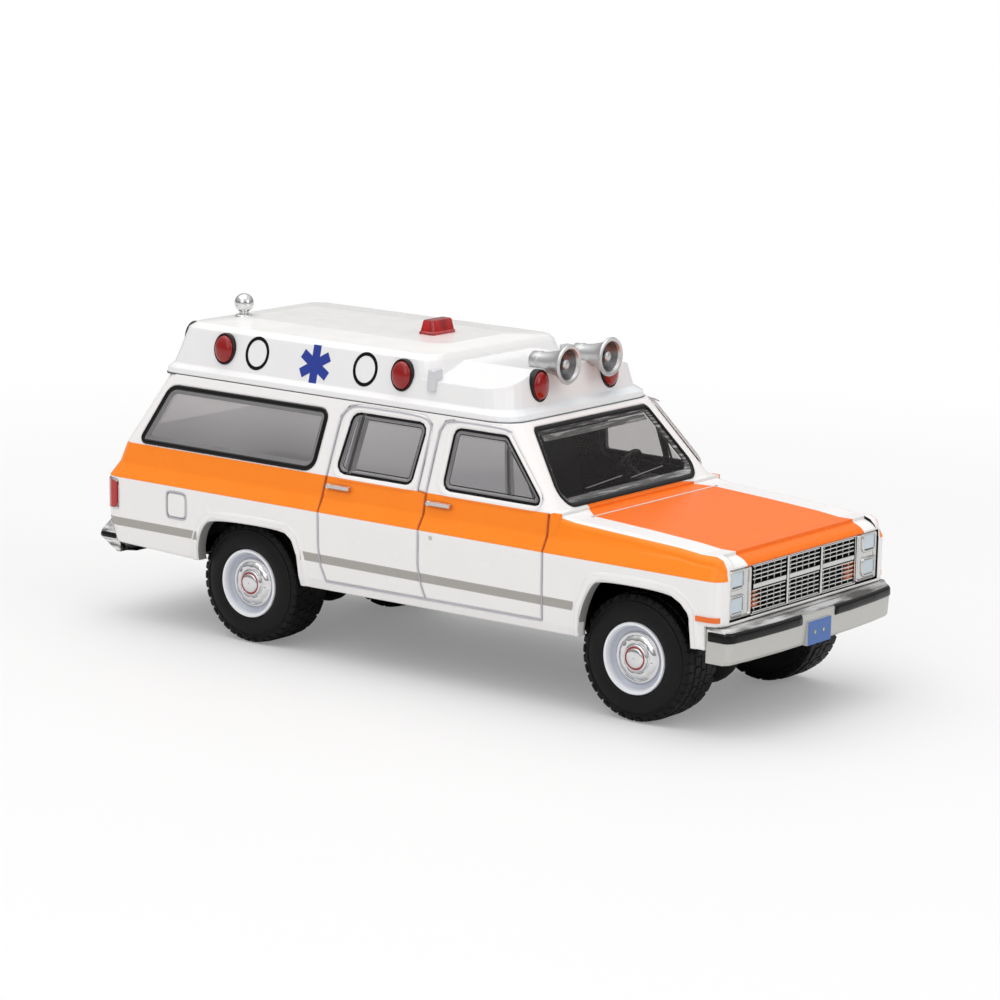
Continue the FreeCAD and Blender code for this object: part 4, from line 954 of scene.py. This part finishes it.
def axle_cases():
    """Rounded black housings under the middle of each axle, open round the axle itself."""
    roof_z, neck_z, centre_z = 7.9, 5.26, 5.7
    for end, x, size in (("front", FRONT_AXLE_X, 3.9), ("rear", REAR_AXLE_X + 0.5, 3)):
        gap = 1.6 / size
        wing = [-0.97, -0.88, -0.74, -0.58, -gap]
        rings = []
        for top, shares in ((roof_z, wing), (neck_z, (-gap, -0.2, 0, 0.2, gap)),
                            (roof_z, [-s for s in wing[::-1]])):
            for share in shares:
                half = size * math.sqrt(1 - share * share)
                turns = [math.pi * i / 16 for i in range(17)]
                arc = [(math.cos(a), centre_z - half * math.sin(a)) for a in turns]
                section = [(-1, top), (1, top)] + [(y, min(z, top - 0.02)) for y, z in arc]
                rings.append([(x + share * size, AXLE_CASE_Y + 0.9 * half * y, z) for y, z in section])
        b = Builder()
        b.tube(rings)
        b.make("axle_case_" + end, "base", sharp=40)


def beacon_mesh():
    """Clear red housing with a ribbed core."""
    lo, hi, mid = node_box("beacon")
    hx, hy = (hi.x - lo.x) / 2, (hi.y - lo.y) / 2
    rings = []
    for sx, sy, z in ((1, 1, lo.z), (1, 1, lo.z + 0.25), (0.9, 0.95, lo.z + 0.34), (0.7, 0.87, hi.z - 0.14),
                      (0.62, 0.83, hi.z)):
        ring = [(-hx * sx, -hy * sy), (hx * sx, -hy * sy), (hx * sx, hy * sy), (-hx * sx, hy * sy)]
        rings.append([(mid.x + p.x, mid.y + p.y, z) for p in rounded(ring, [0.25] * 4, 4)])
    b, core = Builder(), Builder()
    b.tube(rings)
    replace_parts(b.make("beacon_lens", "beacon", sharp=35, slot="red_lens"), "beacon")
    for k in range(5):
        y = mid.y + hy * (-0.6 + 0.3 * k)
        core.box((mid.x - hx * 0.45, y - 0.1, lo.z + 0.15), (mid.x + hx * 0.45, y + 0.1, hi.z - 0.45))
    core.make("beacon_core", "red", sharp=30)


def steering_mesh():
    """Round rim, three spokes and a column."""
    turn = Matrix.Translation(Vector((COWL_X - 5.45, HALF_WIDTH * 0.4, BELT_Z + 1.35)))
    turn = turn @ Matrix.Rotation(math.radians(-62), 4, "Y")
    radius, thick = 1.84, 0.27
    b = Builder()
    rings = []
    for a in (2 * math.pi * i / 40 for i in range(41)):
        ring = []
        for e in (2 * math.pi * k / 8 for k in range(8)):
            reach = radius + thick * math.cos(e)
            ring.append(turn @ Vector((reach * math.cos(a), reach * math.sin(a), thick * math.sin(e))))
        rings.append(ring)
    b.tube(rings, caps=False)
    for a in (0.25, math.pi - 0.25, 1.5 * math.pi):
        b.box((0.2, -0.28, -0.14), (1.8, 0.28, 0.1), turn @ Matrix.Rotation(a, 4, "Z"))
    column = [(0.28, -2.7), (0.3, -0.3), (0.7, -0.05), (0.7, 0.12), (0.5, 0.2), (0.02, 0.22)]
    b.lathe(column, 20, turn, caps=True)
    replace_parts(b.make("steering_rim", "inside", sharp=40, slot="interior_plastic"), "steering_wheel")


def handles():
    """Bright pulls with a round button end, and a key lock."""
    y = side_half(HANDLE_Z)
    lock_x, lock_z = LOCK_PLACE
    for word, side in SIDES:
        b = Builder()
        for x in map(station_x, HANDLE_STATIONS):
            rings = []
            for dx, rise in ((0, 0), (0.12, 0.3), (0.5, 0.36), (2.7, 0.36), (3.1, 0.33), (3.24, 0)):
                section = [(-0.26, rise * 0.5), (-0.14, rise), (0.14, rise), (0.26, rise * 0.6), (0.26, -0.05),
                           (-0.26, -0.05)]
                rings.append([(x - 0.02 + dx, side * (y + r), HANDLE_Z + dz) for dz, r in section])
            b.tube(rings)
            place = frame_at(x + 0.22, side * (y + 0.05), HANDLE_Z, (0, side, 0))
            b.lathe([(0.3, -0.1), (0.3, 0.22), (0.24, 0.3), (0.02, 0.32)], 20, place)
        place = frame_at(lock_x, side * (side_half(lock_z) - 0.05), lock_z, (0, side, 0))
        b.lathe([(0.24, 0), (0.24, 0.09), (0.19, 0.12), (0.14, 0.12), (0.12, 0.07), (0.02, 0.07)], 20, place)
        b.make("door_pulls_" + word, "horn", sharp=45, slot="grille_silver")


def first_hit(names, start, way):
    """Nearest point in millimetres where a ray meets one of the named CAD pieces."""
    best = None
    for name in names:
        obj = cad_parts[name]
        back = obj.matrix_world.inverted()
        found, spot, normal, index = obj.ray_cast(back @ (Vector(start) * MM), back.to_3x3() @ Vector(way))
        if found:
            spot = obj.matrix_world @ spot / MM
            reach = (spot - Vector(start)).length
            if best is None or reach < best[0]:
                best = (reach, spot)
    return best[1] if best else None


def side_hit(names, x, z, side):
    """Nearest point of the named CAD pieces as seen from one side."""
    return first_hit(names, (x, side * 20, z), (0, -side, 0))


def ribbon(b, points, place, wide, rise):
    """Flat ribbon with joined corners along a line of (a, b) points."""
    line = [Vector(p) for p in points]
    edges = ((-1, 0.1), (-1, 0), (1, 0), (1, 0.1))
    rings = []
    for i, p in enumerate(line):
        before = (p - line[i - 1]).normalized() if i else (line[1] - p).normalized()
        after = (line[i + 1] - p).normalized() if i + 1 < len(line) else before
        across = (before + after).normalized().orthogonal() * wide / 2
        rings.append([place(p + across * turn, rise - drop) for turn, drop in edges])
    b.tube(rings)


def softened(points, rounds=2):
    """Line with its corners cut round."""
    for turn in range(rounds):
        cuts = [tuple(Vector(a).lerp(c, share)) for a, c in zip(points, points[1:]) for share in (0.25, 0.75)]
        points = [points[0]] + cuts + [points[-1]]
    return points


def subdivided(points, step=1.2):
    """Line cut into pieces of about a step."""
    result = [points[0]]
    for a, c in zip(points, points[1:]):
        count = max(1, int(math.dist(a, c) / step))
        result += [tuple(Vector(a).lerp(c, k / count)) for k in range(1, count + 1)]
    return result


def shut_lines():
    """Painted shade in the door, sill and filler grooves."""
    for word, side in SIDES:
        b = Builder()

        def place(p, rise, side=side):
            spot = side_hit(["body_shell"], p.x, p.y, side)
            half = max(side_half(p.y), side * spot.y if spot else 0)
            # Beside the windows the line climbs onto the edge of the pressed frame
            over = 0.09 * min(max((p.y - FRAME_FOOT_Z) / 4, 0), 1)
            return (p.x, side * (half + rise + over), p.y)

        lines = [(REAR_DOOR_LINE, 0.16), (FRONT_DOOR_LINE, 0.16), (SILL_LINE, 0.2), (DOOR_FRONT_LINE, 0.16)]
        if side < 0:
            lines.append((FILLER_LINE, 0.17))
        for line, wide in lines:
            points = softened([(station_x(s), level_z(v)) for s, v in line])
            ribbon(b, subdivided(points), place, wide, 0.05)
        b.make("shut_lines_" + word, "line", sharp=30)


def seams():
    """Pale seam between cowl and hood, and a dark band of painted shadow under the roof cap."""
    def hood_place(p, rise):
        spot = first_hit(["body_shell"], (p.x + 0.35, p.y, 30), (0, 0, -1))
        return (p.x, p.y, spot.z + rise)

    seam, gasket = Builder(), Builder()
    ribbon(seam, [(HOOD_SEAM_X, -HOOD_Y + k) for k in range(23)], hood_place, 0.22, 0.05)
    seam.make("hood_seam", "seam", sharp=30)
    # Painted shadow: a dark band under the edge of the roof cap
    lo, hi, mid = node_box("roof_cap")
    corners = [(lo.x, lo.y), (hi.x, lo.y), (hi.x, hi.y), (lo.x, hi.y)]
    low, high = CAP_SHADOW_Z
    stops = ((0.3, low), (-0.02, low), (-0.02, high), (0.3, high))
    gasket.tube([[(p.x, p.y, z) for p in rounded(corners, [1.8, 2.8, 2.8, 1.8], 8, shrink)]
                 for shrink, z in stops], caps=False)
    gasket.make("cap_shadow_band", "gasket", sharp=40)


def door_frames(tag, side):
    """Raised frame pressed round each door window."""
    b = Builder()
    stops = [(-0.8, -0.03), (-0.66, 0.07), (-0.4, 0.12), (-0.14, 0.09), (0, -0.04), (0, -0.4)]
    place = side_place(side)
    # The leg beside the windscreen pillar is narrow
    for window, pull in ((REAR_DOOR_WINDOW, 0), (FRONT_DOOR_WINDOW, 0.75)):
        corners, radii = side_outline(window)
        middle = sum(c[0] for c in corners) / len(corners)
        rings = []
        for s, rise in stops:
            moved = [(c[0] + (pull * s if c[0] > middle else 0), c[1]) for c in corners]
            rings.append([place(p, rise) for p in rounded(moved, radii, shrink=s)])
        b.tube(rings, caps=False)
    b.make("door_window_frames" + tag, "white", sharp=60)


def arch_lips(tag, side):
    """Rounded lip round each wheel arch, with its shaded inner edge."""
    lips, edges = Builder(), Builder()
    parts = ((lips, [(1.05, -0.04), (0.88, 0.07), (0.55, 0.14), (0.2, 0.15), (0.03, 0.1), (-0.04, 0)]),
             (edges, [(-0.04, 0), (-0.09, -0.1), (-0.1, -1.2)]))
    arches = ((REAR_ARCH, REAR_AXLE_X, 1.27, 1.17), (FRONT_ARCH, FRONT_AXLE_X, 1.21, 1.38))
    for shape, axle_x, first, last in arches:
        points = [(shape[0][0], first)] + shape[1:-1] + [(shape[-1][0], last)]
        line = [Vector(p) for p in softened([(axle_x + a * TYRE_RADIUS, c * TYRE_RADIUS) for a, c in points], 3)]
        for b, stops in parts:
            rings = []
            for i, p in enumerate(line):
                along = (line[min(i + 1, len(line) - 1)] - line[max(i - 1, 0)]).normalized()
                out = Vector((-along.y, along.x))
                rings.append([side_place(side)(p + out * grow, rise) for grow, rise in stops])
            b.tube(rings, close=False, caps=False)
    lips.make("arch_lips" + tag, "white", sharp=60)
    edges.make("arch_edges" + tag, "shade", sharp=60)


def bumper_path(node, z, ahead, inner):
    """Points along one half of a bumper, from its end round to y = -inner."""
    lo, hi, mid = node_box(node)
    corner, reach, first, step = (3.2, 11.6), 12, -11, 0.6
    centre = Vector(((hi.x if ahead > 0 else lo.x) - ahead * corner[0], -corner[1], z))
    spots = []
    for k in range(19):
        a = math.radians(-90 + 5 * k)
        way = Vector((ahead * math.cos(a), math.sin(a), 0))
        spots.append(first_hit([node], centre + way * reach, -way))
    steps = [first + step * k for k in range(20) if first + step * k < -inner]
    for y in steps + [-inner]:
        spots.append(first_hit([node], (centre.x + ahead * reach, y, z), (-ahead, 0, 0)))
    return [spot for spot in spots if spot]


def bumper_strips():
    """Black rubbing strips along both bumpers, wrapped round their ends."""
    b = Builder()
    ends = (("front_bumper", 1, 10.6, (10.22, 11.28), 3.1), ("rear_bumper", -1, 9.5, (9.15, 9.85), 0))
    for node, ahead, z, (low, high), inner in ends:
        path = bumper_path(node, z, ahead, inner)
        section = ((-0.25, low), (0.05, low), (0.13, low + 0.1), (0.16, low + 0.3), (0.15, high - 0.35),
                   (0.08, high - 0.15), (-0.08, high), (-0.3, high))
        for mirror in (1, -1):
            rings = []
            for i, p in enumerate(path):
                along = path[min(i + 1, len(path) - 1)] - path[max(i - 1, 0)]
                out = Vector((along.y, -along.x, 0)).normalized()
                if out.dot(Vector((ahead, -1, 0))) < 0:
                    out = -out
                thin = 0.35 if i in (0, len(path) - 1) else 1
                spots = [(p + out * min(rise, rise * thin), at) for rise, at in section]
                rings.append([(spot.x, mirror * spot.y, at) for spot, at in spots])
            b.tube(rings)
    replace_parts(b.make("rubbing_strips", "print", sharp=45, slot="black_trim"), "bumper_strips")


def tail_borders():
    """Silver border round the side face of each tail lamp."""
    lo, hi, mid = node_box("tail_lamp_right")
    for word, side in SIDES:
        names = ["body_shell", "tail_lamp_" + word]

        def place(p, rise, side=side, names=names):
            spot = side_hit(names, p.x, p.y, side)
            y = spot.y if spot else side * 15
            return (p.x, y + side * rise, p.y)

        x0, x1, z0, z1 = lo.x + 0.35, hi.x + 0.12, lo.z - 0.1, hi.z + 0.1
        path = softened([(x0, z0), (x1 - 0.3, z0), (x1, z0 + 0.3), (x1, z1 - 0.3), (x1 - 0.3, z1), (x0, z1)], 1)
        b = Builder()
        ribbon(b, subdivided(path, 0.6), place, 0.24, 0.07)
        b.make("tail_lamp_border_" + word, "bright", sharp=40)


def grille():
    """Bright bars and posts in three thirds, in front of a dark back."""
    lo, hi, mid = node_box("grille_insert")
    front = hi.x
    back = lo.x + 0.1
    z0, z1 = GRILLE_LOW_Z + 0.15, GRILLE_HIGH_Z - 0.2
    half = GRILLE_HALF - 0.3
    middle = z0 + 0.57 * (z1 - z0)
    rows = [z0 + 0.1 + (middle - 0.55 - z0) * k / 5 for k in range(6)]
    rows += [middle + 0.28 + (z1 - 0.34 - middle) * k / 4 for k in range(1, 5)]
    b = Builder()
    for side in (-1, 1):
        b.box((back, side * half / 3 - 0.17, z0 - 0.1), (front - 0.02, side * half / 3 + 0.17, z1 + 0.15))
    for y0, y1 in ((-half, -half / 3 - 0.3), (-half / 3 + 0.3, half / 3 - 0.3), (half / 3 + 0.3, half)):
        b.box((back, y0, middle - 0.24), (front - 0.06, y1, middle + 0.24))
        for z in rows:
            b.box((back, y0, z - 0.09), (front - 0.14, y1, z + 0.07))
        for k in range(5):
            y = y0 + (y1 - y0) * (k + 0.5) / 5
            b.box((back, y - 0.05, z0), (front - 0.34, y + 0.05, z1))
    for low, high in ((GRILLE_LOW_Z - 0.02, GRILLE_LOW_Z + 0.16), (GRILLE_HIGH_Z - 0.14, GRILLE_HIGH_Z)):
        b.box((back, -GRILLE_HALF - 0.05, low), (front - 0.04, GRILLE_HALF + 0.05, high))
    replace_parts(bevel(b.make("grille_bars", "silver", sharp=30, slot="grille_silver"), 0.04), "grille_insert")
    dark = Builder()
    dark.box((back - 0.05, -GRILLE_HALF, z0 - 0.12), (back + 0.1, GRILLE_HALF, z1 + 0.18))
    dark.make("grille_back", "print", sharp=30)
    return front, back


def lamp_surrounds(front, back):
    """Bright housing with a raised frame round each of the two lenses a side."""
    for word, side in SIDES:
        lo, hi, mid = node_box("headlamp_" + word)
        y0, y1 = sorted((abs(lo.y), abs(hi.y)))
        tall = (hi.z - lo.z - 1.05) / 2
        lenses = [(lo.z, lo.z + tall), (hi.z - tall, hi.z)]
        z0, z1 = GRILLE_LOW_Z, GRILLE_HIGH_Z
        rails = [(GRILLE_HALF + 0.08, y0 - 0.08, z0, z1), (y1 + 0.08, BEZEL_HALF - 0.1, z0, z1),
                 (y0 - 0.1, y1 + 0.1, z0, lenses[0][0] - 0.08),
                 (y0 - 0.1, y1 + 0.1, lenses[0][1] + 0.08, lenses[1][0] - 0.08),
                 (y0 - 0.1, y1 + 0.1, lenses[1][1] + 0.08, z1)]
        b = Builder()
        for a, c, low, high in rails:
            ya, yc = sorted((side * a, side * c))
            b.box((back, ya, low), (front - 0.2, yc, high))
        bevel(b.make("lamp_housing_" + word, "silver", sharp=30), 0.05)
        lips = Builder()
        outer = ((GRILLE_HALF + 0.16, z0 + 0.06), (BEZEL_HALF - 0.14, z1 - 0.06), 0.3)
        frames = [outer] + [((y0, low), (y1, high), 0.25) for low, high in lenses]
        for k, ((ya, za), (yc, zc), radius) in enumerate(frames):
            corners = [(side * ya, za), (side * yc, za), (side * yc, zc), (side * ya, zc)]
            grows = [(0, 0.22), (0, 0.08), (0.1, 0), (0.24, 0.04), (0.3, 0.22)]
            if k:
                grows = [(-0.3, 0.22), (-0.26, 0.06), (-0.16, 0), (-0.05, 0.03), (0.02, 0.3)]
            rings = []
            for shrink, deep in grows:
                rings.append([(front - deep, p.x, p.y) for p in rounded(corners, [radius] * 4, 4, shrink)])
            lips.tube(rings, caps=False)
        lips.make("lamp_frames_" + word, "silver", sharp=50)


def bevel(obj, width):
    """Rounded edges on a box-like mesh."""
    mod = obj.modifiers.new("edge", "BEVEL")
    mod.width = width * MM
    mod.segments = 2
    mod.limit_method = "ANGLE"
    mod.angle_limit = math.radians(30)
    mod.harden_normals = True
    return obj


def plate_marks():
    """Two small plain marks on the blue plate."""
    lo, hi, mid = node_box("front_plate")
    b = Builder()
    for y in (-0.8, 0.8):
        b.box((hi.x - 0.05, y - 0.12, mid.z - 0.16), (hi.x + 0.015, y + 0.12, mid.z + 0.16))
    b.make("plate_marks", "yellow", sharp=30)


# Distance from the origin, in metres, where the floor starts and ends to turn white
FADE_START = 0.085
FADE_END = 0.2

# Camera of the photo, in pixels and in millimetres
FOCAL_PIXELS = 3755.37
PICTURE_PIXELS = 1000
SENSOR_WIDTH = 36
CAMERA_PLACE = (240.92484, -318.41131, 96.50861)


def floor_material():
    """Pale floor that meets the white background away from the model."""
    m, vector, x, y, z = material("floor_pale")
    m.finish(vector, lin(229, 229, 229), 0.6, 0.03, 60, 0.02)
    away = m.add("VectorMath", ((0, vector),), operation="LENGTH").outputs["Value"]
    limits = (("From Min", FADE_START), ("From Max", FADE_END), ("Value", away))
    fade = m.add("MapRange", limits, interpolation_type="SMOOTHSTEP")
    white = m.add("Emission", ((0, (1, 1, 1, 1)),))
    lift = m.math("ADD", 0.22, m.times(fade.outputs["Result"], 0.78))
    return m.blend(m.times(lift, m.add("LightPath").outputs["Is Camera Ray"]), m.bsdf, white)


def stage():
    floor = bpy.data.meshes.new("floor")
    floor.from_pydata([(-3, -3, 0), (3, -3, 0), (3, 3, 0), (-3, 3, 0)], [], [(0, 1, 2, 3)])
    floor.materials.append(floor_material())
    obj = linked("floor", floor)
    obj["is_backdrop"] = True


def area(name, place, target, size, power):
    light = bpy.data.lights.new(name, "AREA")
    light.size = size
    light.energy = power
    obj = linked(name, light)
    obj.location = place
    obj.rotation_euler = (Vector(target) - Vector(place)).to_track_quat("-Z", "Y").to_euler()


def lights():
    """Soft studio light: a bright ceiling over a grey horizon, and three lamps."""
    world = bpy.data.worlds.new("studio")
    bpy.context.scene.world = world
    m = Nodes(world)
    ramp = m.add("ValToRGB", ((0, m.split(m.add("TexCoord").outputs["Generated"])[2]),))
    stops = ramp.color_ramp.elements
    stops[1].position = 0.75
    stops[0].color = (0.42, 0.42, 0.42, 1)
    stops[1].color = (0.98, 0.98, 0.98, 1)
    for place, value in ((0.12, 0.28), (0.35, 0.52)):
        stops.new(place).color = (value, value, value, 1)
    sky = m.mix(m.add("LightPath").outputs["Is Camera Ray"], ramp.outputs[0], (1, 1, 1, 1))
    m.link(sky, m.tree.nodes["Background"].inputs[0])
    area("top", (-0.1, -0.12, 0.7), (0, 0, 0.01), 0.8, 2.5)
    area("side", (0.12, -0.6, 0.32), (0, 0, 0.015), 0.45, 0.55)
    area("front", (0.6, 0, 0.3), (0.02, 0, 0.015), 0.35, 0.6)


def camera():
    """Camera at the photo's angle and distance."""
    cam = bpy.data.cameras.new("photo")
    cam.sensor_width = SENSOR_WIDTH
    cam.lens = FOCAL_PIXELS * SENSOR_WIDTH / PICTURE_PIXELS
    cam.clip_start = 0.01
    obj = linked("photo", cam)
    right = Vector((0.79725359, 0.60325787, 0.02160228))
    up = Vector((-0.13501487, 0.14332464, 0.98042289))
    back = Vector((0.58835168, -0.78456229, 0.19571486))
    m = Matrix((right, up, back)).transposed().to_4x4()
    m.translation = Vector(CAMERA_PLACE) * MM
    obj.matrix_world = m
    bpy.context.scene.camera = obj


def main():
    bpy.context.scene.view_settings.view_transform = "Standard"
    camera()
    stage()
    lights()
    paint_nodes()
    wheels()
    for word, side in SIDES:
        for trims in (window_trims, glass_bars, door_frames, arch_lips):
            trims("_" + word, side)
    axle_cases()
    screen_trim()
    tail_trim()
    roof_lamps()
    cap_prints()
    marker_mesh()
    for word, side in SIDES:
        horn_mesh("horn_bell_" + word, "horn_" + word)
    ball_mesh()
    beacon_mesh()
    steering_mesh()
    handles()
    shut_lines()
    seams()
    bumper_strips()
    tail_borders()
    lamp_surrounds(*grille())
    plate_marks()
    bpy.context.view_layer.update()
    boxes = {"cad": CAD_BOX, "visual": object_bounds()}
    lists = {key: [list(map(float, corner)) for corner in box] for key, box in boxes.items()}


main()
